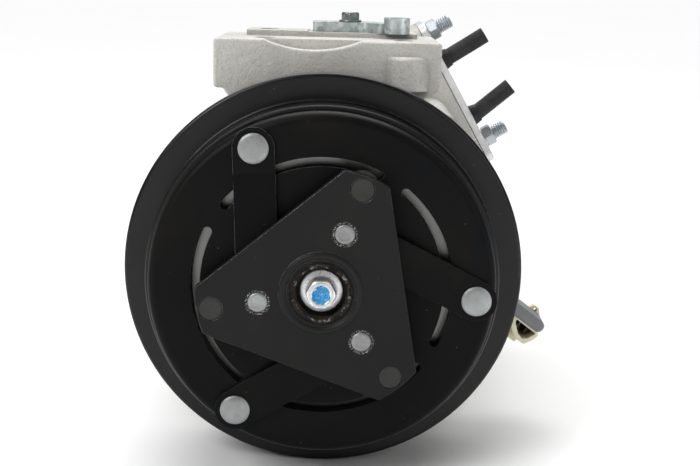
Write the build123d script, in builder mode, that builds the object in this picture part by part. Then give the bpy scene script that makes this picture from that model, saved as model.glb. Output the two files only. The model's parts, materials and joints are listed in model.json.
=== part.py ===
from build123d import *
import os
from math import cos, radians, sin

os.makedirs("parts", exist_ok=True)

# A clutch-driven scroll compressor for a car's air conditioning, in millimetres.
# The origin is on the shaft axis at the middle of the belt. +Y runs along the shaft
# to the rear, +Z is up and +X is to the right of someone who faces the pulley.

# ---- driving dimensions ----
PULLEY_R = 62.5
RIM_HALF = 13.5
RIB_COUNT = 6
RIB_PITCH = 3.56
RIB_DEPTH = 3.0
FRICTION_Y = -27.3
FRICTION_R = 54.0
AIR_GAP = 0.5
PLATE_FRONT = -40.0
FIT = 0.05
GASKET_T = 0.4

# channel in the pulley that holds the coil, and the seat of the pulley's bearing
CHANNEL_R_IN = 31.5
CHANNEL_R_OUT = 50.5
CHANNEL_FRONT = -21.3
PULLEY_BORE_R = 24.0
SEAT_R = 26.0
BEARING_FRONT = -11.0
BEARING_BACK = 9.0
NOSE_R = 17.5

# scroll set: both wraps are made of half circles about two centres on the X axis
WRAP_PITCH = 17.0
WRAP_T = 4.0
WRAP_OUTER = 38.0
WRAP_HALF_TURNS = 4
FLANK_GAP = 0.2
CRANK_R = WRAP_PITCH / 2 - WRAP_T - FLANK_GAP
THRUST_Y = 56.0
SPLIT_Y = 66.0
FLOOR_Y = 92.0
HEAD_Y = 101.0
END_Y = 141.0
SHELL_R = 55.0
CAVITY_R = 50.2
ORBIT_PLATE_R = 45.0
BOLT_R = 54.5
BOLT_COUNT = 5
BOLT_FIRST = 43.7

# mounting block on top of the front housing
BLOCK_LEFT = -38.4
BLOCK_RIGHT = 37.3
BLOCK_TOP = 70.4
BLOCK_STEP = 54.0
BLOCK_FRONT = 20.0
BLOCK_BACK = 63.0
BLOCK_EDGE = 0.8
STEP_INSET = 5.3
PAD_FRONT = 42.0
PAD_TOP = 72.3
PAD_LEFT = -29.2
LAND_TOP = 72.0
LAND_LEFT = -8.0
LAND_RIGHT = 30.0
SCALLOP_R = 42.0
SCALLOP_X = -5.7
SCALLOP_FLOOR = 67.1
SCALLOP_BACK = 25.0
MOUNT_HOLE_R = 3.4
MOUNT_HOLE_DEPTH = 16.0
MOUNT_LEFT = -22.0
MOUNT_RIGHT = 25.0
MOUNT_FRONT_Y = 31.0
MOUNT_BACK_Y = 55.0

# port face on the rear housing, tilted up to the right
PORT_TILT = 30.0
PORT_REACH = 64.9
PORT_SHIFT = 14.8
PORT_Y = 121.0
PORT_LENGTH = 62.0
PORT_WIDTH = 38.0
PORT_SPACING = 26.0
STUD_SPACING = 50.4
STUD_SETBACK = 10.0
COVER_T = 3.0

# clutch hub
HUB_TURN = 69.75
HUB_INRADIUS = 24.5
HUB_CORNER_R = 37.3
HUB_T = 3.0
INNER_RIVET_R = 19.0
STOPPER_R = 33.0
STOPPER_STUB_R = 3.45
STOPPER_HOLE_R = 3.6
OUTER_RIVET_R = 46.5
OUTER_RIVET_TURN = 116.55
INNER_RIVET_OF_STRAP = 189.75
ARMATURE_R = 52.6
ARMATURE_T = 5.0
STRAP_WIDTH = 12.5
STRAP_T = 1.2

ARMATURE_BACK = FRICTION_Y - AIR_GAP
ARMATURE_FRONT = ARMATURE_BACK - ARMATURE_T
PLATE_BACK = PLATE_FRONT + HUB_T


# ---- helpers ----
def plane_at(y):
    """The sketch plane across the shaft at y; its x is +X, its y is +Z, and it faces the front."""
    return Plane.XZ.offset(-y)


def polar(radius, angle):
    """X and Z of a point at this radius and angle, counted from +X towards +Z."""
    return (radius * cos(radians(angle)), radius * sin(radians(angle)))


def turned(*profile):
    """A solid of revolution about the shaft, from (y, radius) points."""
    with BuildPart() as body:
        with BuildSketch(Plane.YZ):
            with BuildLine():
                Polyline(*profile, close=True)
            make_face()
        revolve(axis=Axis.Y)
    return body


def ring(front, back, inner, outer):
    """A plain ring about the shaft."""
    return turned((front, inner), (back, inner), (back, outer), (front, outer))


def snap_ring(front, back, inner, outer, gap_deg):
    """A retaining ring about the shaft with a gap at the bottom."""
    with BuildPart() as clip:
        with BuildSketch(plane_at(front)):
            Circle(outer)
            Circle(inner, mode=Mode.SUBTRACT)
            with BuildLine():
                Polyline(
                    (0, 0),
                    polar(2 * outer, 270 - gap_deg / 2),
                    polar(2 * outer, 270 + gap_deg / 2),
                    close=True,
                )
            make_face(mode=Mode.SUBTRACT)
        extrude(amount=front - back)
    return clip


def race(front, back, inner, outer, rows, pitch_r, ball_r):
    """One ring of a ball bearing, with a groove for each row of balls."""
    with BuildPart() as body:
        with BuildSketch(Plane.YZ):
            with Locations(((front + back) / 2, (inner + outer) / 2)):
                Rectangle(back - front, outer - inner)
            with Locations(*[(row, pitch_r) for row in rows]):
                Circle(ball_r + FIT, mode=Mode.SUBTRACT)
        revolve(axis=Axis.Y)
        chamfer(body.edges().filter_by(GeomType.CIRCLE).group_by(SortBy.RADIUS)[-1], 0.4)
    return body


def ball_set(rows, pitch_r, ball_r, count):
    """The balls of a bearing, one ring of them for each row."""
    with BuildPart() as body:
        for row in rows:
            with Locations(plane_at(row)):
                with PolarLocations(pitch_r, count):
                    Sphere(ball_r)
    return body


def ball_cage(rows, pitch_r, ball_r, count, half_width, half_thick):
    """The cages that space the balls: a thin ring with a round pocket for each ball."""
    with BuildPart() as body:
        for row in rows:
            with BuildSketch(plane_at(row - half_width)):
                Circle(pitch_r + half_thick)
                Circle(pitch_r - half_thick, mode=Mode.SUBTRACT)
            extrude(amount=-2 * half_width)
            with Locations(plane_at(row)):
                with PolarLocations(pitch_r, count):
                    Cylinder(ball_r + 2 * FIT, 4 * half_thick, rotation=(0, 90, 0), mode=Mode.SUBTRACT)
    return body


def keep(body, name):
    """Label a finished piece and write it as a STEP file."""
    body.part.label = name
    export_step(body.part, f"parts/{name}.step")


# ---- clutch hub: splined boss, drive plate, straps, armature ----
STAKE_Y = PLATE_FRONT - 0.4
RECESS_R = 7.4
RECESS_FLOOR = -36.0
LIP_BACK = -33.5
SHIM_BACK = -33.0
HUB_BORE_R = 6.05
BOSS_R = 11.0
BOSS_NECK_R = 9.5
BOSS_BACK = -20.0
HUB_BOLT_R = 3.0

with BuildPart() as hub_boss:
    with BuildSketch(Plane.YZ):
        with BuildLine():
            Polyline(
                (STAKE_Y, RECESS_R + 0.5),
                (STAKE_Y, BOSS_NECK_R - 0.4),
                (STAKE_Y + 0.4, BOSS_NECK_R),
                (PLATE_BACK, BOSS_NECK_R),
                (PLATE_BACK, BOSS_R),
                (BOSS_BACK - 0.8, BOSS_R),
                (BOSS_BACK, BOSS_R - 0.8),
                (BOSS_BACK, HUB_BORE_R),
                (LIP_BACK, HUB_BORE_R),
                (LIP_BACK, HUB_BOLT_R + 0.3),
                (RECESS_FLOOR, HUB_BOLT_R + 0.3),
                (RECESS_FLOOR, RECESS_R),
                (STAKE_Y + 0.5, RECESS_R),
                close=True,
            )
        make_face()
    revolve(axis=Axis.Y)
    # six stakes spread the boss's lip over the plate
    with BuildSketch(plane_at(STAKE_Y)):
        with PolarLocations(BOSS_NECK_R - 0.75, 6, start_angle=5):
            SlotOverall(2.6, 1.1, rotation=90)
    extrude(amount=-0.5, mode=Mode.SUBTRACT)
keep(hub_boss, "hub_boss")

with BuildPart() as drive_plate:
    with BuildSketch(plane_at(PLATE_FRONT)) as plate_outline:
        RegularPolygon(2 * HUB_INRADIUS, 3, rotation=HUB_TURN)
        Circle(HUB_CORNER_R, mode=Mode.INTERSECT)
        fillet(plate_outline.vertices(), 1.2)
        Circle(BOSS_NECK_R + FIT, mode=Mode.SUBTRACT)
        with PolarLocations(INNER_RIVET_R, 3, start_angle=HUB_TURN):
            Circle(3.0, mode=Mode.SUBTRACT)
        with PolarLocations(STOPPER_R, 3, start_angle=HUB_TURN):
            Circle(STOPPER_HOLE_R, mode=Mode.SUBTRACT)
    extrude(amount=-HUB_T)
    # raised collar pressed round the boss
    with BuildSketch(Plane.YZ):
        with BuildLine():
            Line((PLATE_FRONT + 0.1, 10.2), (PLATE_FRONT + 0.1, 12.6))
            ThreePointArc((PLATE_FRONT + 0.1, 12.6), (PLATE_FRONT - 0.7, 11.4), (PLATE_FRONT + 0.1, 10.2))
        make_face()
    revolve(axis=Axis.Y)
    outer_rim = drive_plate.faces().filter_by(Axis.Y).sort_by(Axis.Y)[0]
    chamfer(outer_rim.outer_wire().edges(), 0.25)
keep(drive_plate, "drive_plate")

with BuildPart() as rubber_stoppers:
    with BuildSketch(plane_at(PLATE_FRONT + 0.15)):
        with PolarLocations(STOPPER_R, 3, start_angle=HUB_TURN):
            Circle(STOPPER_STUB_R)
    extrude(amount=-HUB_T)
    fillet(rubber_stoppers.edges().group_by(Axis.Y)[0], 0.4)
    with BuildSketch(plane_at(PLATE_BACK)):
        with PolarLocations(STOPPER_R, 3, start_angle=HUB_TURN):
            Circle(5.0)
    extrude(amount=PLATE_BACK - ARMATURE_FRONT + 0.05)
keep(rubber_stoppers, "rubber_stoppers")

INNER_RIVET_SHANK = 2.95
with BuildPart() as inner_rivets:
    with BuildSketch(plane_at(PLATE_FRONT - 0.25)):
        with PolarLocations(INNER_RIVET_R, 3, start_angle=HUB_TURN):
            Circle(INNER_RIVET_SHANK)
    extrude(amount=-(HUB_T + STRAP_T + 0.25))
    fillet(inner_rivets.edges().group_by(Axis.Y)[0], 0.2)
    with BuildSketch(plane_at(PLATE_BACK + STRAP_T)):
        with PolarLocations(INNER_RIVET_R, 3, start_angle=HUB_TURN):
            Circle(4.4)
    extrude(amount=-1.3)
keep(inner_rivets, "inner_rivets")

# one strap: flat under the plate, then down to the armature, then flat again
strap_from = Vector(*polar(INNER_RIVET_R, INNER_RIVET_OF_STRAP))
strap_to = Vector(*polar(OUTER_RIVET_R, OUTER_RIVET_TURN))
strap_span = (strap_to - strap_from).length
strap_along = (strap_to - strap_from).normalized()
strap_plan = Plane(
    origin=(strap_from.X, PLATE_BACK, strap_from.Y),
    x_dir=(strap_along.X, 0, strap_along.Y),
    z_dir=(0, -1, 0),
)
strap_side = Plane(
    origin=strap_plan.origin,
    x_dir=(strap_along.X, 0, strap_along.Y),
    z_dir=(-strap_along.Y, 0, strap_along.X),
)
STRAP_DROP = ARMATURE_FRONT - STRAP_T - PLATE_BACK
STRAP_BEND_IN = 13.0
STRAP_BEND_OUT = 37.5
STRAP_END = STRAP_WIDTH / 2 + 0.5
OUTER_RIVET_SHANK = 2.6

with BuildPart() as strap:
    with BuildSketch(strap_side):
        with BuildLine():
            Polyline(
                (-STRAP_END, 0),
                (STRAP_BEND_IN, 0),
                (STRAP_BEND_OUT, STRAP_DROP),
                (strap_span + STRAP_END, STRAP_DROP),
                (strap_span + STRAP_END, STRAP_DROP + STRAP_T),
                (STRAP_BEND_OUT, STRAP_DROP + STRAP_T),
                (STRAP_BEND_IN, STRAP_T),
                (-STRAP_END, STRAP_T),
                close=True,
            )
        make_face()
    extrude(amount=STRAP_WIDTH, both=True)
    with BuildSketch(strap_plan.offset(2)):
        with Locations((strap_span / 2, 0)):
            SlotCenterToCenter(strap_span, STRAP_WIDTH)
        Circle(INNER_RIVET_SHANK + FIT, mode=Mode.SUBTRACT)
        with Locations((strap_span, 0)):
            Circle(OUTER_RIVET_SHANK + FIT, mode=Mode.SUBTRACT)
    extrude(amount=-12, mode=Mode.INTERSECT)

with BuildPart() as leaf_springs:
    for turn in range(3):
        add(strap.part.rotate(Axis.Y, 120 * turn))
keep(leaf_springs, "leaf_springs")

SLOT_R = 38.0
SLOT_WIDTH = 2.8
SLOT_ARC = 75.5
SLOT_FIRST = 12.4
armature_slot = CenterArc((0, 0), SLOT_R, SLOT_FIRST - SLOT_ARC / 2, SLOT_ARC)
with BuildPart() as armature_plate:
    with BuildSketch(plane_at(ARMATURE_FRONT)):
        Circle(ARMATURE_R)
        Circle(17.0, mode=Mode.SUBTRACT)
        with PolarLocations(0, 4):
            SlotArc(armature_slot, SLOT_WIDTH, mode=Mode.SUBTRACT)
        with PolarLocations(OUTER_RIVET_R, 3, start_angle=OUTER_RIVET_TURN):
            Circle(OUTER_RIVET_SHANK + FIT, mode=Mode.SUBTRACT)
    extrude(amount=-ARMATURE_T)
    front_edges = armature_plate.edges().filter_by(GeomType.CIRCLE).group_by(Axis.Y)[0]
    fillet(front_edges.sort_by(SortBy.RADIUS)[-1], 2.8)
    back_edges = armature_plate.edges().filter_by(GeomType.CIRCLE).group_by(Axis.Y)[-1]
    chamfer(back_edges.sort_by(SortBy.RADIUS)[-1], 0.6)
keep(armature_plate, "armature_plate")

RIVET_HEAD_R = 4.6
RIVET_HEAD_Y = ARMATURE_FRONT - STRAP_T
with BuildPart() as outer_rivets:
    with BuildSketch(plane_at(RIVET_HEAD_Y - 1.2)):
        with PolarLocations(OUTER_RIVET_R, 3, start_angle=OUTER_RIVET_TURN):
            Circle(RIVET_HEAD_R)
    extrude(amount=-1.2)
    fillet(outer_rivets.edges().group_by(Axis.Y)[0], 0.7)
    with BuildSketch(plane_at(RIVET_HEAD_Y)):
        with PolarLocations(OUTER_RIVET_R, 3, start_angle=OUTER_RIVET_TURN):
            Circle(OUTER_RIVET_SHANK)
    extrude(amount=-(STRAP_T + ARMATURE_T - 0.4))
keep(outer_rivets, "outer_rivets")

HEX_FLATS = 8.0
BOLT_FLANGE_R = 6.5
with BuildPart() as hub_bolt:
    with BuildSketch(Plane.YZ):
        with BuildLine():
            Polyline(
                (RECESS_FLOOR - 1.6, 0),
                (RECESS_FLOOR - 1.6, 4.9),
                (RECESS_FLOOR - 0.9, BOLT_FLANGE_R),
                (RECESS_FLOOR, BOLT_FLANGE_R),
                (RECESS_FLOOR, HUB_BOLT_R),
                (-17.0, HUB_BOLT_R),
                (-16.2, 2.2),
                (-16.2, 0),
                close=True,
            )
        make_face()
    revolve(axis=Axis.Y)
    with BuildSketch(plane_at(RECESS_FLOOR - 1.6)):
        RegularPolygon(HEX_FLATS / 2, 6, major_radius=False)
    extrude(amount=4.2)
    hex_top = hub_bolt.faces().filter_by(Axis.Y).sort_by(Axis.Y)[0]
    chamfer(hex_top.edges(), 0.35)
keep(hub_bolt, "hub_bolt")

with BuildPart() as hub_shims:
    for index in range(2):
        with BuildSketch(plane_at(LIP_BACK + 0.25 * index)):
            Circle(5.9)
            Circle(HUB_BOLT_R + 0.3, mode=Mode.SUBTRACT)
        extrude(amount=-0.25 + 0.005)
keep(hub_shims, "hub_shims")

# ---- pulley ----
RIM_FRONT = -14.4
REAR_RIM_R = 60.4
RIB_TIP_R = REAR_RIM_R - 0.2
RIB_VALLEY_R = RIB_TIP_R - RIB_DEPTH
LIP_ROUND = 1.2
first_rib = -RIB_PITCH * (RIB_COUNT - 1) / 2
groove_points = []
for rib in range(RIB_COUNT):
    middle = first_rib + RIB_PITCH * rib
    groove_points += [
        (middle - 1.4, RIB_TIP_R),
        (middle - 0.35, RIB_VALLEY_R),
        (middle + 0.35, RIB_VALLEY_R),
        (middle + 1.4, RIB_TIP_R),
    ]
GROOVES_HALF = RIB_PITCH * RIB_COUNT / 2
PULLEY_HUB_BACK = 11.0
pulley_slots = (
    CenterArc((0, 0), 34.0, -25, 50),
    CenterArc((0, 0), 45.5, 5, 50),
)

with BuildPart() as pulley:
    with BuildSketch(Plane.YZ):
        with BuildLine():
            Polyline(
                (FRICTION_Y, PULLEY_BORE_R),
                (FRICTION_Y, FRICTION_R - 0.5),
                (FRICTION_Y + 0.5, FRICTION_R),
                (RIM_FRONT - 1.0, FRICTION_R),
            )
            TangentArc((RIM_FRONT - 1.0, FRICTION_R), (RIM_FRONT, FRICTION_R + 1.0), tangent=(1, 0))
            Line((RIM_FRONT, FRICTION_R + 1.0), (RIM_FRONT, PULLEY_R - LIP_ROUND))
            TangentArc((RIM_FRONT, PULLEY_R - LIP_ROUND), (RIM_FRONT + LIP_ROUND, PULLEY_R), tangent=(0, 1))
            Polyline(
                (RIM_FRONT + LIP_ROUND, PULLEY_R),
                (-GROOVES_HALF - 0.9, PULLEY_R),
                (-GROOVES_HALF - 0.3, RIB_TIP_R),
                *groove_points,
                (GROOVES_HALF + 0.3, RIB_TIP_R),
                (GROOVES_HALF + 0.5, REAR_RIM_R),
                (RIM_HALF - 0.5, REAR_RIM_R),
                (RIM_HALF, REAR_RIM_R - 0.5),
                (RIM_HALF, CHANNEL_R_OUT + 0.5),
                (RIM_HALF - 0.5, CHANNEL_R_OUT),
                (CHANNEL_FRONT, CHANNEL_R_OUT),
                (CHANNEL_FRONT, CHANNEL_R_IN),
                (PULLEY_HUB_BACK, CHANNEL_R_IN),
                (PULLEY_HUB_BACK, SEAT_R - 0.6),
                (BEARING_BACK + FIT, SEAT_R - 0.6),
                (BEARING_BACK + FIT, SEAT_R),
                (BEARING_FRONT, SEAT_R),
                (BEARING_FRONT, PULLEY_BORE_R),
                (FRICTION_Y, PULLEY_BORE_R),
            )
        make_face()
    revolve(axis=Axis.Y)
    with BuildSketch(plane_at(FRICTION_Y - 1)):
        with PolarLocations(0, 6):
            SlotArc(pulley_slots[0], 2.6)
            SlotArc(pulley_slots[1], 2.6)
    extrude(amount=-(CHANNEL_FRONT - FRICTION_Y + 2), mode=Mode.SUBTRACT)
keep(pulley, "pulley")

PULLEY_ROWS = (-6.0, 4.0)
PULLEY_PITCH_R = 21.75
PULLEY_BALL_R = 2.4
PULLEY_BALLS = 14
pulley_race = (PULLEY_ROWS, PULLEY_PITCH_R, PULLEY_BALL_R)
pulley_bearing_inner = race(BEARING_FRONT, BEARING_BACK, NOSE_R + 0.01, 20.4, *pulley_race)
keep(pulley_bearing_inner, "pulley_bearing_inner")
pulley_bearing_outer = race(BEARING_FRONT, BEARING_BACK, 23.1, SEAT_R - 0.01, *pulley_race)
keep(pulley_bearing_outer, "pulley_bearing_outer")
pulley_bearing_balls = ball_set(*pulley_race, PULLEY_BALLS)
keep(pulley_bearing_balls, "pulley_bearing_balls")
pulley_bearing_cages = ball_cage(*pulley_race, PULLEY_BALLS, 2.9, 0.7)
keep(pulley_bearing_cages, "pulley_bearing_cages")

with BuildPart() as pulley_bearing_seals:
    for front in (BEARING_FRONT + 0.3, BEARING_BACK - 1.3):
        with BuildSketch(plane_at(front)):
            Circle(23.05)
            Circle(20.7, mode=Mode.SUBTRACT)
        extrude(amount=-1.0)
keep(pulley_bearing_seals, "pulley_bearing_seals")

pulley_snap_ring = snap_ring(-12.6, BEARING_FRONT - 0.02, 16.5, 19.6, 24)
keep(pulley_snap_ring, "pulley_snap_ring")

# ---- field coil, its lead and its connector ----
LEAD_R = 2.0
LEAD_TURN = -20.0
LEAD_EXIT_R = 42.5
LEAD_HOLE_R = 2.6
COIL_FRONT = -17.0
COIL_BACK = 13.0
COIL_PLATE_R = 47.0
COIL_STEP_R = 24.0
with BuildPart() as coil_shell:
    with BuildSketch(Plane.YZ):
        with BuildLine():
            Polyline(
                (COIL_FRONT, CHANNEL_R_IN + 0.7),
                (COIL_BACK, CHANNEL_R_IN + 0.7),
                (COIL_BACK, CHANNEL_R_OUT - 0.5),
                (COIL_FRONT, CHANNEL_R_OUT - 0.5),
                (COIL_FRONT, CHANNEL_R_OUT - 3.2),
                (COIL_BACK - 3, CHANNEL_R_OUT - 3.2),
                (COIL_BACK - 3, CHANNEL_R_IN + 3.2),
                (COIL_FRONT, CHANNEL_R_IN + 3.2),
                close=True,
            )
        make_face()
    revolve(axis=Axis.Y)
    with BuildSketch(plane_at(COIL_BACK - 4)):
        with Locations(polar(LEAD_EXIT_R, LEAD_TURN)):
            Circle(LEAD_HOLE_R)
    extrude(amount=-5, mode=Mode.SUBTRACT)
keep(coil_shell, "coil_shell")

coil_winding = turned(
    (COIL_FRONT + 1.0, CHANNEL_R_IN + 3.4),
    (COIL_BACK - 3.1, CHANNEL_R_IN + 3.4),
    (COIL_BACK - 3.1, CHANNEL_R_OUT - 3.4),
    (COIL_FRONT + 1.0, CHANNEL_R_OUT - 3.4),
)
keep(coil_winding, "coil_winding")

with BuildPart() as coil_plate:
    with BuildSketch(plane_at(COIL_BACK)):
        Circle(COIL_PLATE_R)
        Circle(COIL_STEP_R + FIT, mode=Mode.SUBTRACT)
        with Locations(polar(LEAD_EXIT_R, LEAD_TURN)):
            Circle(LEAD_HOLE_R, mode=Mode.SUBTRACT)
        with PolarLocations(29.0, 3, start_angle=30):
            Circle(1.6, mode=Mode.SUBTRACT)
    extrude(amount=-2.0)
keep(coil_plate, "coil_plate")

lead_out = Vector(cos(radians(LEAD_TURN)), 0, sin(radians(LEAD_TURN)))
lead_route = (
    LEAD_EXIT_R * lead_out + Vector(0, COIL_BACK - 3.0, 0),
    LEAD_EXIT_R * lead_out + Vector(0, 20.0, 0),
    53.0 * lead_out + Vector(0, 22.5, 0),
    65.0 * lead_out + Vector(0, 27.7, 0),
)
with BuildPart() as coil_lead:
    with BuildLine() as lead_path:
        FilletPolyline(*lead_route, radius=(4.0, 8.0))
    with BuildSketch(Plane(origin=lead_path.line @ 0, z_dir=lead_path.line % 0)):
        Circle(LEAD_R)
    sweep()
keep(coil_lead, "coil_lead")

# connector: a cream socket that opens to the front, under a grey cover
CONNECTOR_AT = (70.6, -23.2)
CONNECTOR_TILT = -36.5
CONNECTOR_FRONT = 16.5
CONNECTOR_DEPTH = 21.0
SOCKET_DEPTH = 13.0
COVER_DEPTH = 9.4
COVER_LOW = -1.25
connector_plane = Plane(
    origin=(CONNECTOR_AT[0], CONNECTOR_FRONT, CONNECTOR_AT[1]),
    x_dir=(cos(radians(CONNECTOR_TILT)), 0, sin(radians(CONNECTOR_TILT))),
    z_dir=(0, -1, 0),
)
with BuildPart() as connector_body:
    with BuildSketch(connector_plane) as socket_outline:
        with BuildLine():
            Polyline(
                (-6.6, COVER_LOW),
                (5.8, COVER_LOW),
                (4.9, -4.4),
                (3.4, -7.3),
                (-0.6, -7.5),
                (-4.6, -4.6),
                close=True,
            )
        make_face()
        fillet(socket_outline.vertices(), 1.0)
    extrude(amount=-CONNECTOR_DEPTH)
    # web behind the cover, with an ear that has a hole for a cable tie
    with BuildSketch(connector_plane.offset(-COVER_DEPTH)) as web_outline:
        with BuildLine():
            Polyline(
                (-6.0, COVER_LOW - 0.3),
                (-6.0, 0.5),
                (-0.9, 2.2),
                (0.3, 4.6),
                (2.3, 4.6),
                (5.2, 1.8),
                (5.4, COVER_LOW - 0.3),
                close=True,
            )
        make_face()
        fillet(web_outline.vertices().group_by(Axis.X)[1:-1], 0.7)
        with Locations((1.5, 3.5)):
            Circle(0.6, mode=Mode.SUBTRACT)
    extrude(amount=-2.4)
    # the boot beside the socket, where the lead comes in
    with BuildSketch(connector_plane.offset(-4.0)):
        with Locations((-1.9, -6.4)):
            RectangleRounded(7.0, 5.8, 0.8)
    extrude(amount=-5.9)
    with BuildSketch(connector_plane.offset(-7.5)):
        with Locations((-6.6, -5.0)):
            RectangleRounded(6.0, 7.0, 1.2)
    extrude(amount=-11)
    # the socket, deep enough for its plug
    with BuildSketch(connector_plane) as socket_hollow:
        with BuildLine():
            Polyline(
                (-4.3, COVER_LOW - 0.6),
                (4.4, COVER_LOW - 0.6),
                (3.1, -5.0),
                (1.6, -6.1),
                (-0.4, -5.6),
                (-3.4, -3.2),
                close=True,
            )
        make_face()
        fillet(socket_hollow.vertices(), 0.4)
    extrude(amount=-SOCKET_DEPTH, mode=Mode.SUBTRACT)
    with BuildSketch(Plane(origin=lead_path.line @ 1, z_dir=lead_path.line % 1)):
        Circle(LEAD_R + FIT)
    extrude(amount=-6, mode=Mode.SUBTRACT)
keep(connector_body, "connector_body")

with BuildPart() as connector_cover:
    with BuildSketch(connector_plane.offset(0.8)):
        with BuildLine():
            Line((-9.5, COVER_LOW + 0.05), (4.0, COVER_LOW + 0.05))
            ThreePointArc((4.0, COVER_LOW + 0.05), (5.3, 0.6), (4.6, 2.4))
            Polyline((4.6, 2.4), (3.4, 3.0), (-9.5, 3.0), (-9.5, COVER_LOW + 0.05))
        make_face()
    extrude(amount=-COVER_DEPTH - 0.75)
    fillet(connector_cover.faces().sort_by(Axis.Y)[0].outer_wire().edges(), 0.6)
keep(connector_cover, "connector_cover")

with BuildPart() as connector_terminals:
    with BuildSketch(connector_plane.offset(-4)):
        with Locations((-1.2, -3.3), (2.0, -3.6)):
            Rectangle(0.8, 2.0)
    extrude(amount=-9)
keep(connector_terminals, "connector_terminals")

# ---- front housing: nose, seal and bearing bores, crank cavity, mounting block ----
SEAL_BORE_R = 13.5
NOSE_CUP_R = 11.5
MAIN_BORE_R = 21.0
MAIN_FRONT = 26.0
MAIN_BACK = 38.0
CRANK_CAVITY_R = 31.0
SNAP_GROOVE_R = 16.45
LUG_R = 7.0
BOLT_SHANK_R = 3.0
BOLT_TAP_R = 3.05
ANTI_ROTATION_R = 35.2
ANTI_ROTATION_PIN_R = 2.5
ANTI_ROTATION_COUNT = 4
ANTI_ROTATION_FIRST = 45.0
BRACKET_BOLT_AT = (6.7, 53.0)
BOSS_X = 26.1
BOSS_TOP = 65.7
CLIP_SCREW_AT = polar(56.0, -38.0)
CLIP_FACE_Y = 28.5

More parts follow.
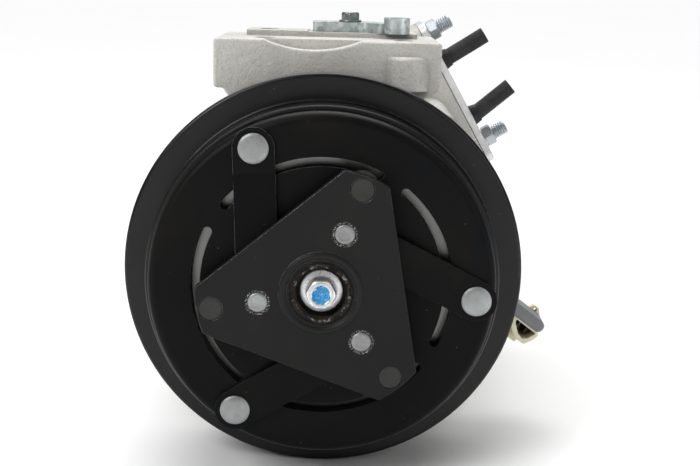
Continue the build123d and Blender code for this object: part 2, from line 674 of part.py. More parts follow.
with BuildPart() as front_housing:
    with BuildSketch(Plane.YZ):
        with BuildLine():
            Polyline(
                (-13.6, 0),
                (-13.6, NOSE_R - 0.6),
                (-13.0, NOSE_R),
                (-12.65, NOSE_R),
                (-12.65, SNAP_GROOVE_R),
                (BEARING_FRONT, SNAP_GROOVE_R),
                (BEARING_FRONT, NOSE_R),
                (BEARING_BACK, NOSE_R),
                (BEARING_BACK, 20.0),
                (10.5, 20.0),
                (10.5, COIL_STEP_R - 0.4),
                (10.9, COIL_STEP_R),
                (11.4, COIL_STEP_R),
                (11.4, 22.9),
                (COIL_BACK, 22.9),
                (COIL_BACK, COIL_STEP_R),
                (COIL_BACK + 2, COIL_STEP_R),
                (COIL_BACK + 2, 39.0),
                (16.0, 40.0),
                (24.5, 40.0),
                (30.0, 50.0),
                (37.0, SHELL_R),
                (SPLIT_Y, SHELL_R),
                (SPLIT_Y, 0),
                close=True,
            )
        make_face()
    revolve(axis=Axis.Y)
    fillet(front_housing.edges().filter_by(GeomType.CIRCLE).filter_by_position(Axis.Y, 36.9, 37.1), 6)
    # bolt lugs round the joint
    with BuildSketch(plane_at(42)):
        with PolarLocations(BOLT_R, BOLT_COUNT, start_angle=BOLT_FIRST):
            Circle(LUG_R)
    extrude(amount=42 - SPLIT_Y)
    # mounting block, with its edges rounded
    with BuildSketch(plane_at(BLOCK_FRONT)) as block_outline:
        with BuildLine():
            Polyline(
                (BLOCK_LEFT, BLOCK_TOP),
                (BLOCK_RIGHT, BLOCK_TOP),
                (BLOCK_RIGHT, BLOCK_STEP + 0.8),
                (BLOCK_RIGHT - STEP_INSET, BLOCK_STEP - 2.4),
                (BLOCK_RIGHT - STEP_INSET, 30),
                (BLOCK_LEFT + STEP_INSET, 30),
                (BLOCK_LEFT + STEP_INSET, BLOCK_STEP - 3.2),
                (BLOCK_LEFT + STEP_INSET - 2.2, BLOCK_STEP),
                (BLOCK_LEFT, BLOCK_STEP),
                close=True,
            )
        make_face()
        fillet(block_outline.vertices().group_by(Axis.Y)[1:], 1.4)
    extrude(amount=BLOCK_FRONT - BLOCK_BACK)
    # scallop in the front of the block's top edge
    with BuildSketch(plane_at(BLOCK_FRONT - 1)):
        with Locations((SCALLOP_X, SCALLOP_FLOOR + SCALLOP_R)):
            Circle(SCALLOP_R)
    extrude(amount=BLOCK_FRONT - 1 - SCALLOP_BACK, mode=Mode.SUBTRACT)
    block_front = front_housing.edges().filter_by_position(Axis.Y, BLOCK_FRONT - 0.01, BLOCK_FRONT + 0.01)
    fillet(block_front.filter_by_position(Axis.Z, BLOCK_STEP - 3, BLOCK_TOP + 1), BLOCK_EDGE)
    # half-round boss that runs up the block's front face, round a bolt hole
    with BuildSketch(Plane.XY.offset(BLOCK_STEP + 0.5)):
        with Locations((BOSS_X, BLOCK_FRONT + 3)):
            Circle(7.3)
    extrude(amount=BOSS_TOP - BLOCK_STEP - 0.5)
    boss_rims = front_housing.edges().filter_by(GeomType.CIRCLE)
    fillet(boss_rims.filter_by_position(Axis.Z, BOSS_TOP - 0.1, BOSS_TOP + 0.1), 1.2)
    # machined pad for the engine bracket, and the land of the line bracket beside it
    with BuildSketch(Plane.XY.offset(BLOCK_TOP - 1)):
        with Locations(((PAD_LEFT + LAND_LEFT) / 2, (PAD_FRONT + BLOCK_BACK) / 2)):
            Rectangle(LAND_LEFT - PAD_LEFT, BLOCK_BACK - PAD_FRONT - 1)
    extrude(amount=PAD_TOP - BLOCK_TOP + 1)
    with BuildSketch(Plane.XY.offset(BLOCK_TOP - 1)):
        with Locations(((LAND_LEFT + LAND_RIGHT) / 2, (PAD_FRONT + BLOCK_BACK) / 2)):
            Rectangle(LAND_RIGHT - LAND_LEFT, BLOCK_BACK - PAD_FRONT - 1)
    extrude(amount=LAND_TOP - BLOCK_TOP + 1)
    # boss for the connector clip's screw
    with BuildSketch(plane_at(CLIP_FACE_Y)):
        with Locations(CLIP_SCREW_AT):
            Circle(5.5)
    extrude(amount=-12)
    # ribs from the shell up to the block and along the cone
    with BuildSketch(plane_at(31)):
        with PolarLocations(52.0, 5, start_angle=BOLT_FIRST + 36):
            Rectangle(7.0, 4.0)
    extrude(amount=31 - SPLIT_Y + 6)
    # bores
    with BuildSketch(Plane.YZ):
        with BuildLine():
            Polyline(
                (-14, 0),
                (-14, SEAL_BORE_R),
                (-8.6, SEAL_BORE_R),
                (-8.6, SEAL_BORE_R + 1.0),
                (-7.2, SEAL_BORE_R + 1.0),
                (-7.2, SEAL_BORE_R),
                (7.0, SEAL_BORE_R),
                (7.0, 9.5),
                (10.5, 9.5),
                (10.5, NOSE_CUP_R),
                (23.2, NOSE_CUP_R),
                (23.2, 15.0),
                (MAIN_FRONT, 15.0),
                (MAIN_FRONT, MAIN_BORE_R),
                (39.0, MAIN_BORE_R),
                (39.0, CRANK_CAVITY_R),
                (THRUST_Y, CRANK_CAVITY_R),
                (THRUST_Y, CAVITY_R),
                (SPLIT_Y + 1, CAVITY_R),
                (SPLIT_Y + 1, 0),
                close=True,
            )
        make_face()
    revolve(axis=Axis.Y, mode=Mode.SUBTRACT)
    # threads for the through bolts, the mounting bolts and the bracket's bolt
    with BuildSketch(plane_at(SPLIT_Y)):
        with PolarLocations(BOLT_R, BOLT_COUNT, start_angle=BOLT_FIRST):
            Circle(BOLT_TAP_R)
    extrude(amount=18, mode=Mode.SUBTRACT)
    for top, place in (
        (BLOCK_TOP, (MOUNT_LEFT, MOUNT_FRONT_Y)),
        (BLOCK_TOP, (MOUNT_RIGHT, MOUNT_FRONT_Y)),
        (PAD_TOP, (MOUNT_LEFT, MOUNT_BACK_Y)),
        (LAND_TOP, (MOUNT_RIGHT, MOUNT_BACK_Y)),
    ):
        with BuildSketch(Plane.XY.offset(top)):
            with Locations(place):
                Circle(MOUNT_HOLE_R)
        extrude(amount=-MOUNT_HOLE_DEPTH, mode=Mode.SUBTRACT)
    with BuildSketch(Plane.XY.offset(LAND_TOP)):
        with Locations(BRACKET_BOLT_AT):
            Circle(BOLT_TAP_R)
    extrude(amount=-13, mode=Mode.SUBTRACT)
    with BuildSketch(plane_at(CLIP_FACE_Y)):
        with Locations(CLIP_SCREW_AT):
            Circle(BOLT_TAP_R)
    extrude(amount=-12, mode=Mode.SUBTRACT)
    # holes for the anti-rotation pins
    with BuildSketch(plane_at(THRUST_Y)):
        with PolarLocations(ANTI_ROTATION_R, ANTI_ROTATION_COUNT, start_angle=ANTI_ROTATION_FIRST):
            Circle(ANTI_ROTATION_PIN_R)
    extrude(amount=9, mode=Mode.SUBTRACT)
keep(front_housing, "front_housing")

# shaft seal: steel cup and lip in one moulding, held by a ring in the nose
SEAL_JOURNAL_R = 7.0
shaft_seal = turned(
    (-6.0, SEAL_JOURNAL_R + 0.2),
    (-4.5, SEAL_JOURNAL_R + 0.05),
    (-3.5, SEAL_JOURNAL_R + 0.05),
    (-2.5, 8.2),
    (-2.5, 11.0),
    (2.0, 11.0),
    (2.0, SEAL_JOURNAL_R + 0.05),
    (4.0, SEAL_JOURNAL_R + 0.05),
    (5.0, 9.0),
    (6.5, 9.0),
    (6.5, SEAL_BORE_R - 0.02),
    (-7.0, SEAL_BORE_R - 0.02),
    (-7.0, 10.0),
    (-6.0, 9.4),
)
keep(shaft_seal, "shaft_seal")

seal_clip = snap_ring(-8.5, -7.25, 11.2, SEAL_BORE_R + 0.95, 30)
coil_clip = snap_ring(11.45, COIL_BACK - 0.02, 22.95, 26.6, 24)
with BuildPart() as housing_snap_rings:
    add(seal_clip.part)
    add(coil_clip.part)
keep(housing_snap_rings, "housing_snap_rings")

# ---- shaft bearings ----
NOSE_JOURNAL_R = 8.0
NOSE_ROLLER_R = 1.2
NOSE_ROLLERS = 14
NOSE_ROLLER_AT = NOSE_JOURNAL_R + NOSE_ROLLER_R + 0.03
nose_bearing_cup = turned(
    (11.0, 9.6),
    (11.0, NOSE_CUP_R - 0.01),
    (22.6, NOSE_CUP_R - 0.01),
    (22.6, 9.6),
    (21.8, 9.6),
    (21.8, NOSE_ROLLER_AT + NOSE_ROLLER_R + 0.03),
    (11.8, NOSE_ROLLER_AT + NOSE_ROLLER_R + 0.03),
    (11.8, 9.6),
)
keep(nose_bearing_cup, "nose_bearing_cup")
with BuildPart() as nose_bearing_rollers:
    with BuildSketch(plane_at(12.3)):
        with PolarLocations(NOSE_ROLLER_AT, NOSE_ROLLERS):
            Circle(NOSE_ROLLER_R)
    extrude(amount=-9.0)
keep(nose_bearing_rollers, "nose_bearing_rollers")

MAIN_JOURNAL_R = 10.0
MAIN_PITCH_R = 15.5
MAIN_BALL_R = 3.0
MAIN_BALLS = 10
main_row = ((MAIN_FRONT + MAIN_BACK) / 2,)
main_race = (main_row, MAIN_PITCH_R, MAIN_BALL_R)
main_bearing_inner = race(MAIN_FRONT, MAIN_BACK, MAIN_JOURNAL_R + 0.01, 13.8, *main_race)
keep(main_bearing_inner, "main_bearing_inner")
main_bearing_outer = race(MAIN_FRONT, MAIN_BACK, 17.2, MAIN_BORE_R - 0.01, *main_race)
keep(main_bearing_outer, "main_bearing_outer")
main_bearing_balls = ball_set(*main_race, MAIN_BALLS)
keep(main_bearing_balls, "main_bearing_balls")
main_bearing_cage = ball_cage(*main_race, MAIN_BALLS, 3.9, 0.9)
keep(main_bearing_cage, "main_bearing_cage")

# ---- crankshaft, eccentric bushing and counterweight ----
SPLINE_COUNT = 20
CRANK_PIN_R = 4.0
CRANK_PIN_RISE = 3.5
CRANK_FRONT = 38.4
CRANK_BACK = 43.0
with BuildPart() as crankshaft:
    with BuildSketch(Plane.YZ):
        with BuildLine():
            Polyline(
                (SHIM_BACK, 0),
                (SHIM_BACK, 5.4),
                (SHIM_BACK + 0.6, 6.0),
                (-14.0, 6.0),
                (-13.0, SEAL_JOURNAL_R),
                (9.5, SEAL_JOURNAL_R),
                (10.5, NOSE_JOURNAL_R),
                (24.0, NOSE_JOURNAL_R),
                (24.0, MAIN_JOURNAL_R),
                (MAIN_BACK, MAIN_JOURNAL_R),
                (MAIN_BACK, 12.5),
                (CRANK_FRONT, 14.0),
                (CRANK_BACK, 14.0),
                (CRANK_BACK, 0),
                close=True,
            )
        make_face()
    revolve(axis=Axis.Y)
    with BuildSketch(plane_at(CRANK_BACK)):
        with Locations((CRANK_R, CRANK_PIN_RISE)):
            Circle(CRANK_PIN_R)
    extrude(amount=-18.4)
    # spline under the hub boss
    with BuildSketch(plane_at(SHIM_BACK)):
        with PolarLocations(6.1, SPLINE_COUNT):
            Rectangle(0.9, 0.8)
    extrude(amount=-15, mode=Mode.SUBTRACT)
    # thread for the hub bolt
    with BuildSketch(plane_at(SHIM_BACK)):
        Circle(HUB_BOLT_R + FIT)
    extrude(amount=-18, mode=Mode.SUBTRACT)
keep(crankshaft, "crankshaft")

BUSHING_FRONT = 43.3
BUSHING_BACK = 61.6
BUSHING_R = 9.0
WEIGHT_BACK = 48.0
with BuildPart() as eccentric_bushing:
    with BuildSketch(plane_at(BUSHING_FRONT)):
        with Locations((CRANK_R, 0)):
            Circle(BUSHING_R)
        with Locations((CRANK_R, CRANK_PIN_RISE)):
            Circle(CRANK_PIN_R + 0.02, mode=Mode.SUBTRACT)
    extrude(amount=BUSHING_FRONT - BUSHING_BACK)
    chamfer(eccentric_bushing.edges().filter_by(GeomType.CIRCLE).sort_by(SortBy.RADIUS)[-2:], 0.5)
keep(eccentric_bushing, "eccentric_bushing")

WEIGHT_R = 29.5
with BuildPart() as counterweight:
    with BuildSketch(plane_at(BUSHING_FRONT)):
        with Locations((CRANK_R, 0)):
            Circle(13.0)
        with BuildLine():
            CenterArc((0, 0), WEIGHT_R, 105, 150)
            Polyline(polar(WEIGHT_R, 105), (CRANK_R, 12.0), (CRANK_R, -12.0), polar(WEIGHT_R, 255))
        make_face()
        with Locations((CRANK_R, 0)):
            Circle(BUSHING_R + 0.02, mode=Mode.SUBTRACT)
    extrude(amount=BUSHING_FRONT - WEIGHT_BACK)
    with BuildSketch(plane_at(WEIGHT_BACK)):
        with BuildLine():
            CenterArc((0, 0), WEIGHT_R, 105, 150)
            CenterArc((0, 0), 21.5, 105, 150)
            Line(polar(WEIGHT_R, 105), polar(21.5, 105))
            Line(polar(WEIGHT_R, 255), polar(21.5, 255))
        make_face()
    extrude(amount=WEIGHT_BACK - THRUST_Y + 1)
keep(counterweight, "counterweight")

CRANK_ROLLER_R = 1.2
CRANK_ROLLERS = 16
CRANK_ROLLER_AT = BUSHING_R + CRANK_ROLLER_R + 0.03
CRANK_CUP_R = 12.5
BOSS_FRONT = 49.0
POCKET_BACK = 62.4
with BuildPart() as crank_bearing_cup:
    with BuildSketch(plane_at(BOSS_FRONT + 0.4)):
        with Locations((CRANK_R, 0)):
            Circle(CRANK_CUP_R - 0.01)
            Circle(CRANK_ROLLER_AT + CRANK_ROLLER_R + 0.03, mode=Mode.SUBTRACT)
    extrude(amount=-12.0)
keep(crank_bearing_cup, "crank_bearing_cup")
with BuildPart() as crank_bearing_rollers:
    with Locations(plane_at(BOSS_FRONT + 6.4)):
        with Locations((CRANK_R, 0)):
            with PolarLocations(CRANK_ROLLER_AT, CRANK_ROLLERS):
                Cylinder(CRANK_ROLLER_R, 10.6)
keep(crank_bearing_rollers, "crank_bearing_rollers")

# ---- scroll set ----
THRUST_T = 2.0
ORBIT_FRONT = THRUST_Y + THRUST_T + 0.2
WRAP_FLOOR_GAP = 0.3
TIP_GROOVE_W = 1.6
TIP_GROOVE_D = 1.2


def wrap_band(width, trim):
    """Edges of a band of this width along the wrap, cut back by trim degrees at each end."""
    centre = WRAP_PITCH / 4
    for half_turn in range(WRAP_HALF_TURNS):
        middle = WRAP_OUTER - half_turn * WRAP_PITCH / 2
        side = 1 if half_turn % 2 == 0 else -1
        start = 0 if side == 1 else 180
        sweep_deg = 180
        if half_turn == 0:
            start += trim
            sweep_deg -= trim
        if half_turn == WRAP_HALF_TURNS - 1:
            sweep_deg -= trim
        for edge in (middle - width / 2, middle + width / 2):
            CenterArc((side * centre, 0), edge, start, sweep_deg)
    inner = WRAP_OUTER - (WRAP_HALF_TURNS - 1) * WRAP_PITCH / 2
    for middle, side, angle, ahead in (
        (WRAP_OUTER, 1, trim, -1),
        (inner, -1, -trim, 1),
    ):
        near = Vector(side * centre, 0) + Vector(*polar(middle - width / 2, angle))
        far = Vector(side * centre, 0) + Vector(*polar(middle + width / 2, angle))
        out = (far - near).normalized().rotate(Axis.Z, 90 * ahead)
        ThreePointArc(near, (near + far) / 2 + out * width / 2, far)


orbit_centre = (CRANK_R, 0)


def orbit_plane(y):
    """The plane of the orbiting wrap: the fixed wrap's, turned by half a turn and moved by the crank."""
    return Plane(origin=(CRANK_R, y, 0), x_dir=(-1, 0, 0), z_dir=(0, -1, 0))


with BuildPart() as thrust_plate:
    with BuildSketch(plane_at(THRUST_Y)):
        Circle(CAVITY_R - 0.1)
        Circle(30.0, mode=Mode.SUBTRACT)
        with PolarLocations(ANTI_ROTATION_R, ANTI_ROTATION_COUNT, start_angle=ANTI_ROTATION_FIRST):
            Circle(ANTI_ROTATION_PIN_R + FIT, mode=Mode.SUBTRACT)
    extrude(amount=-THRUST_T)
keep(thrust_plate, "thrust_plate")

with BuildPart() as anti_rotation_pins:
    with BuildSketch(plane_at(THRUST_Y - 9)):
        with PolarLocations(ANTI_ROTATION_R, ANTI_ROTATION_COUNT, start_angle=ANTI_ROTATION_FIRST):
            Circle(ANTI_ROTATION_PIN_R)
    extrude(amount=-16.2)
    chamfer(anti_rotation_pins.edges().group_by(Axis.Y)[-1], 0.4)
keep(anti_rotation_pins, "anti_rotation_pins")

RING_IN_R = CRANK_R + ANTI_ROTATION_PIN_R + 0.1
RING_OUT_R = RING_IN_R + 1.5
RING_DEPTH = 5.4
with BuildPart() as anti_rotation_rings:
    with BuildSketch(plane_at(ORBIT_FRONT)):
        with Locations(orbit_centre):
            with PolarLocations(ANTI_ROTATION_R, ANTI_ROTATION_COUNT, start_angle=ANTI_ROTATION_FIRST):
                Circle(RING_OUT_R - 0.01)
                Circle(RING_IN_R, mode=Mode.SUBTRACT)
    extrude(amount=-RING_DEPTH)
keep(anti_rotation_rings, "anti_rotation_rings")

with BuildPart() as orbiting_scroll:
    with BuildSketch(plane_at(ORBIT_FRONT)):
        with Locations(orbit_centre):
            Circle(ORBIT_PLATE_R)
    extrude(amount=ORBIT_FRONT - SPLIT_Y)
    with BuildSketch(plane_at(BOSS_FRONT)):
        with Locations(orbit_centre):
            Circle(CRANK_CUP_R + 4.0)
    extrude(amount=BOSS_FRONT - ORBIT_FRONT)
    with BuildSketch(orbit_plane(SPLIT_Y)):
        with BuildLine():
            wrap_band(WRAP_T, 0)
        make_face()
    extrude(amount=SPLIT_Y - FLOOR_Y + WRAP_FLOOR_GAP)
    with BuildSketch(orbit_plane(FLOOR_Y - WRAP_FLOOR_GAP)):
        with BuildLine():
            wrap_band(TIP_GROOVE_W, 12)
        make_face()
    extrude(amount=TIP_GROOVE_D, mode=Mode.SUBTRACT)
    with BuildSketch(plane_at(BOSS_FRONT)):
        with Locations(orbit_centre):
            Circle(CRANK_CUP_R)
    extrude(amount=BOSS_FRONT - POCKET_BACK, mode=Mode.SUBTRACT)
    with BuildSketch(plane_at(ORBIT_FRONT)):
        with Locations(orbit_centre):
            with PolarLocations(ANTI_ROTATION_R, ANTI_ROTATION_COUNT, start_angle=ANTI_ROTATION_FIRST):
                Circle(RING_OUT_R)
    extrude(amount=-RING_DEPTH, mode=Mode.SUBTRACT)
keep(orbiting_scroll, "orbiting_scroll")

with BuildPart() as orbiting_tip_seal:
    with BuildSketch(orbit_plane(FLOOR_Y - WRAP_FLOOR_GAP)):
        with BuildLine():
            wrap_band(TIP_GROOVE_W - 0.1, 13)
        make_face()
    extrude(amount=TIP_GROOVE_D - 0.05)
    # the seal stands proud of the wrap and runs on the other scroll's floor
    extrude(orbiting_tip_seal.faces().sort_by(Axis.Y)[-1], amount=WRAP_FLOOR_GAP - 0.02)
keep(orbiting_tip_seal, "orbiting_tip_seal")

SUCTION_INLET_R = 46.6
inlet_arc = CenterArc((0, 0), SUCTION_INLET_R, 40, 50)
with BuildPart() as fixed_scroll:
    with BuildSketch(plane_at(SPLIT_Y + GASKET_T)):
        Circle(SHELL_R)
        with PolarLocations(BOLT_R, BOLT_COUNT, start_angle=BOLT_FIRST):
            Circle(LUG_R)
    extrude(amount=SPLIT_Y + GASKET_T - HEAD_Y)
    with BuildSketch(plane_at(SPLIT_Y)):
        Circle(CAVITY_R)
    extrude(amount=SPLIT_Y - FLOOR_Y, mode=Mode.SUBTRACT)
    with BuildSketch(plane_at(SPLIT_Y + WRAP_FLOOR_GAP)):
        with BuildLine():
            wrap_band(WRAP_T, 0)
        make_face()
    extrude(amount=SPLIT_Y + WRAP_FLOOR_GAP - FLOOR_Y)
    with BuildSketch(plane_at(SPLIT_Y + WRAP_FLOOR_GAP)):
        with BuildLine():
            wrap_band(TIP_GROOVE_W, 12)
        make_face()
    extrude(amount=-TIP_GROOVE_D, mode=Mode.SUBTRACT)
    with BuildSketch(plane_at(SPLIT_Y - 1)):
        with PolarLocations(BOLT_R, BOLT_COUNT, start_angle=BOLT_FIRST):
            Circle(BOLT_SHANK_R + 0.3)
    extrude(amount=SPLIT_Y - HEAD_Y - 2, mode=Mode.SUBTRACT)
    # discharge hole at the middle, suction inlets at the edge
    with BuildSketch(plane_at(FLOOR_Y - 1)):
        Circle(4.5)
        with PolarLocations(0, 2):
            SlotArc(inlet_arc, 5.0)
    extrude(amount=FLOOR_Y - HEAD_Y - 2, mode=Mode.SUBTRACT)
    # tapped hole for the reed's screw
    with BuildSketch(plane_at(HEAD_Y)):
        with Locations((0, -20)):
            Circle(2.0)
    extrude(amount=6.5, mode=Mode.SUBTRACT)
keep(fixed_scroll, "fixed_scroll")

with BuildPart() as fixed_tip_seal:
    with BuildSketch(plane_at(SPLIT_Y + WRAP_FLOOR_GAP)):
        with BuildLine():
            wrap_band(TIP_GROOVE_W - 0.1, 13)
        make_face()
    extrude(amount=-TIP_GROOVE_D + 0.05)
    extrude(fixed_tip_seal.faces().sort_by(Axis.Y)[0], amount=WRAP_FLOOR_GAP - 0.02)
keep(fixed_tip_seal, "fixed_tip_seal")

# ---- discharge reed, its stop and its screw ----
REED_T = 0.4
REED_ROOT = (0, -20)
with BuildPart() as discharge_reed:
    with BuildSketch(plane_at(HEAD_Y)):
        Circle(6.0)
        with Locations((0, -11)):
            Rectangle(6.0, 18)
        with Locations(REED_ROOT):
            Circle(4.5)
            Circle(2.1, mode=Mode.SUBTRACT)
    extrude(amount=-REED_T)
keep(discharge_reed, "discharge_reed")

STOP_T = 2.4
with BuildPart() as reed_stop:
    with BuildSketch(Plane.YZ):
        with BuildLine():
            Line((HEAD_Y + REED_T, -24.5), (HEAD_Y + REED_T, -14))
            ThreePointArc((HEAD_Y + REED_T, -14), (HEAD_Y + 1.2, -4), (HEAD_Y + 3.0, 5))
            Line((HEAD_Y + 3.0, 5), (HEAD_Y + 3.0 + STOP_T, 5))
            ThreePointArc((HEAD_Y + 5.4, 5), (HEAD_Y + 1.2 + STOP_T, -4), (HEAD_Y + 2.8, -14))
            Polyline((HEAD_Y + 2.8, -14), (HEAD_Y + 2.8, -24.5), (HEAD_Y + REED_T, -24.5))
        make_face()
    extrude(amount=4.2, both=True)
    with BuildSketch(plane_at(HEAD_Y)):
        with Locations(REED_ROOT):
            Circle(2.1)
    extrude(amount=-5, mode=Mode.SUBTRACT)
keep(reed_stop, "reed_stop")

with BuildPart() as reed_screw:
    with BuildSketch(plane_at(HEAD_Y + REED_T + STOP_T)):
        with Locations(REED_ROOT):
            Circle(3.5)
    extrude(amount=-3.0)
    with BuildSketch(plane_at(HEAD_Y + REED_T + STOP_T + 3.0)):
        with Locations(REED_ROOT):
            RegularPolygon(1.25, 6, major_radius=False)
    extrude(amount=1.8, mode=Mode.SUBTRACT)
    with BuildSketch(plane_at(HEAD_Y - 6)):
        with Locations(REED_ROOT):
            Circle(1.95)
    extrude(amount=-(6 + REED_T + STOP_T))
keep(reed_screw, "reed_screw")

# ---- rear housing: suction ring chamber, discharge chamber, port boss, relief valve boss ----
END_WALL = 9.0
DISCHARGE_R = 32.5
DIVIDER_R = 36.5
SUCTION_R = 48.6
SUCTION_PORT_R = 8.0
DISCHARGE_PORT_R = 5.5
STUD_BORE_R = 3.0
RELIEF_TURN = 215.0
RELIEF_Y = 122.0
RELIEF_BORE_R = 5.0
RELIEF_REACH = 61.0

port_out = Vector(cos(radians(PORT_TILT)), 0, sin(radians(PORT_TILT)))
port_along = Vector(-sin(radians(PORT_TILT)), 0, cos(radians(PORT_TILT)))


def port_plane(reach):
    """The plane of the port face at this distance from the shaft; x runs up it, y to the front."""
    place = reach * port_out + PORT_SHIFT * port_along + Vector(0, PORT_Y, 0)
    return Plane(origin=place, x_dir=port_along, z_dir=port_out)


relief_out = Vector(cos(radians(RELIEF_TURN)), 0, sin(radians(RELIEF_TURN)))


def relief_plane(reach):
    """The plane across the relief valve at this distance from the shaft."""
    return Plane(origin=reach * relief_out + Vector(0, RELIEF_Y, 0), x_dir=(0, 1, 0), z_dir=relief_out)


SUCTION_AT = (PORT_SPACING / 2, 0)
DISCHARGE_AT = (-PORT_SPACING / 2, 0)
STUDS_AT = ((STUD_SPACING / 2, -STUD_SETBACK), (-STUD_SPACING / 2, -STUD_SETBACK))

with BuildPart() as rear_housing:
    with BuildSketch(plane_at(HEAD_Y + GASKET_T)):
        Circle(SHELL_R)
        with PolarLocations(BOLT_R, BOLT_COUNT, start_angle=BOLT_FIRST):
            Circle(LUG_R)
    extrude(amount=HEAD_Y + GASKET_T - END_Y)
    fillet(rear_housing.edges().group_by(Axis.Y)[-1], 2.5)
    with BuildSketch(port_plane(PORT_REACH)):
        RectangleRounded(PORT_LENGTH, PORT_WIDTH, 5.0)
    extrude(amount=-34.0)
    with BuildSketch(relief_plane(RELIEF_REACH)):
        Circle(9.5)
    extrude(amount=-20.0)
    # ribs across the end wall
    with BuildSketch(plane_at(END_Y + 2.5)):
        Circle(16.0)
        with PolarLocations(30.0, BOLT_COUNT, start_angle=BOLT_FIRST):
            Rectangle(34.0, 5.0)
    extrude(amount=3.5)
    # chambers
    with BuildSketch(plane_at(HEAD_Y)):
        Circle(SUCTION_R)
        Circle(DIVIDER_R, mode=Mode.SUBTRACT)
    extrude(amount=HEAD_Y - END_Y + END_WALL + 2, mode=Mode.SUBTRACT)
    with BuildSketch(plane_at(HEAD_Y)):
        Circle(DISCHARGE_R)
    extrude(amount=HEAD_Y - END_Y + END_WALL, mode=Mode.SUBTRACT)
    # walls of the discharge and relief passages where they cross the suction chamber
    with BuildSketch(port_plane(56.0)):
        with Locations(DISCHARGE_AT):
            Circle(DISCHARGE_PORT_R + 3.0)
    extrude(amount=-22.0)
    with BuildSketch(relief_plane(50.0)):
        Circle(RELIEF_BORE_R + 2.5)
    extrude(amount=-15.5)
    with BuildSketch(port_plane(PORT_REACH + 1)):
        with Locations(DISCHARGE_AT):
            Circle(DISCHARGE_PORT_R)
    extrude(amount=-36.0, mode=Mode.SUBTRACT)
    with BuildSketch(port_plane(PORT_REACH + 1)):
        with Locations(SUCTION_AT):
            Circle(SUCTION_PORT_R)
    extrude(amount=-30.0, mode=Mode.SUBTRACT)
    with BuildSketch(port_plane(PORT_REACH + 1)):
        with Locations(*STUDS_AT):
            Circle(STUD_BORE_R + FIT)
    extrude(amount=-13.0, mode=Mode.SUBTRACT)
    with BuildSketch(relief_plane(RELIEF_REACH + 1)):
        Circle(RELIEF_BORE_R + FIT)
    extrude(amount=-18.0, mode=Mode.SUBTRACT)
    with BuildSketch(relief_plane(RELIEF_REACH - 16)):
        Circle(2.0)
    extrude(amount=-18.0, mode=Mode.SUBTRACT)
    # bolt holes, with a spot face for each head
    with BuildSketch(plane_at(HEAD_Y - 1)):
        with PolarLocations(BOLT_R, BOLT_COUNT, start_angle=BOLT_FIRST):
            Circle(BOLT_SHANK_R + 0.3)
    extrude(amount=HEAD_Y - END_Y - 2, mode=Mode.SUBTRACT)
    with BuildSketch(plane_at(END_Y - 0.5)):
        with PolarLocations(BOLT_R, BOLT_COUNT, start_angle=BOLT_FIRST):
            Circle(6.6)
    extrude(amount=-8, mode=Mode.SUBTRACT)
keep(rear_housing, "rear_housing")

# gaskets: an open ring in front, and one behind with windows for the suction gas
with BuildPart() as housing_gaskets:
    with BuildSketch(plane_at(SPLIT_Y)):
        Circle(SHELL_R)
        with PolarLocations(BOLT_R, BOLT_COUNT, start_angle=BOLT_FIRST):
            Circle(LUG_R)
            Circle(BOLT_SHANK_R + 0.2, mode=Mode.SUBTRACT)
        Circle(CAVITY_R, mode=Mode.SUBTRACT)
    extrude(amount=-GASKET_T)
    with BuildSketch(plane_at(HEAD_Y)):
        Circle(SHELL_R)
        with PolarLocations(BOLT_R, BOLT_COUNT, start_angle=BOLT_FIRST):
            Circle(LUG_R)
            Circle(BOLT_SHANK_R + 0.2, mode=Mode.SUBTRACT)
        Circle(DISCHARGE_R, mode=Mode.SUBTRACT)
        with PolarLocations(0, 2):
            SlotArc(inlet_arc, 5.0, mode=Mode.SUBTRACT)
    extrude(amount=-GASKET_T)
keep(housing_gaskets, "housing_gaskets")

BOLT_HEAD_H = 6.0
with BuildPart() as through_bolts:
    with BuildSketch(plane_at(END_Y - 0.5)):
        with PolarLocations(BOLT_R, BOLT_COUNT, start_angle=BOLT_FIRST):
            Circle(6.3)
    extrude(amount=-1.3)
    with BuildSketch(plane_at(END_Y + 0.8)):
        with PolarLocations(BOLT_R, BOLT_COUNT, start_angle=BOLT_FIRST):
            Circle(5.0)
    extrude(amount=-BOLT_HEAD_H + 1.3)
    chamfer(through_bolts.edges().group_by(Axis.Y)[-1], 0.5)
    with BuildSketch(plane_at(END_Y + BOLT_HEAD_H)):
        with PolarLocations(BOLT_R, BOLT_COUNT, start_angle=BOLT_FIRST):
            RegularPolygon(2.5, 6, major_radius=False)
    extrude(amount=4.0, mode=Mode.SUBTRACT)
    with BuildSketch(plane_at(SPLIT_Y - 16)):
        with PolarLocations(BOLT_R, BOLT_COUNT, start_angle=BOLT_FIRST):
            Circle(BOLT_SHANK_R)
    extrude(amount=SPLIT_Y - 16 - END_Y + 0.5)
keep(through_bolts, "through_bolts")

# ---- pressure relief valve: body, poppet and spring ----
RELIEF_SEAT = 46.5
with BuildPart() as relief_valve_body:
    with BuildSketch(relief_plane(44.5)):
        Circle(RELIEF_BORE_R)
        Circle(1.6, mode=Mode.SUBTRACT)
    extrude(amount=2.0)
    with BuildSketch(relief_plane(RELIEF_SEAT)):
        Circle(RELIEF_BORE_R)
        Circle(3.6, mode=Mode.SUBTRACT)
    extrude(amount=RELIEF_REACH - RELIEF_SEAT)
    with BuildSketch(relief_plane(RELIEF_REACH)):
        RegularPolygon(6.5, 6, major_radius=False)
        Circle(3.6, mode=Mode.SUBTRACT)
    extrude(amount=3.4)
    with BuildSketch(relief_plane(RELIEF_REACH + 3.4)):
        RegularPolygon(6.5, 6, major_radius=False)
        Circle(2.0, mode=Mode.SUBTRACT)
    extrude(amount=1.6)
keep(relief_valve_body, "relief_valve_body")

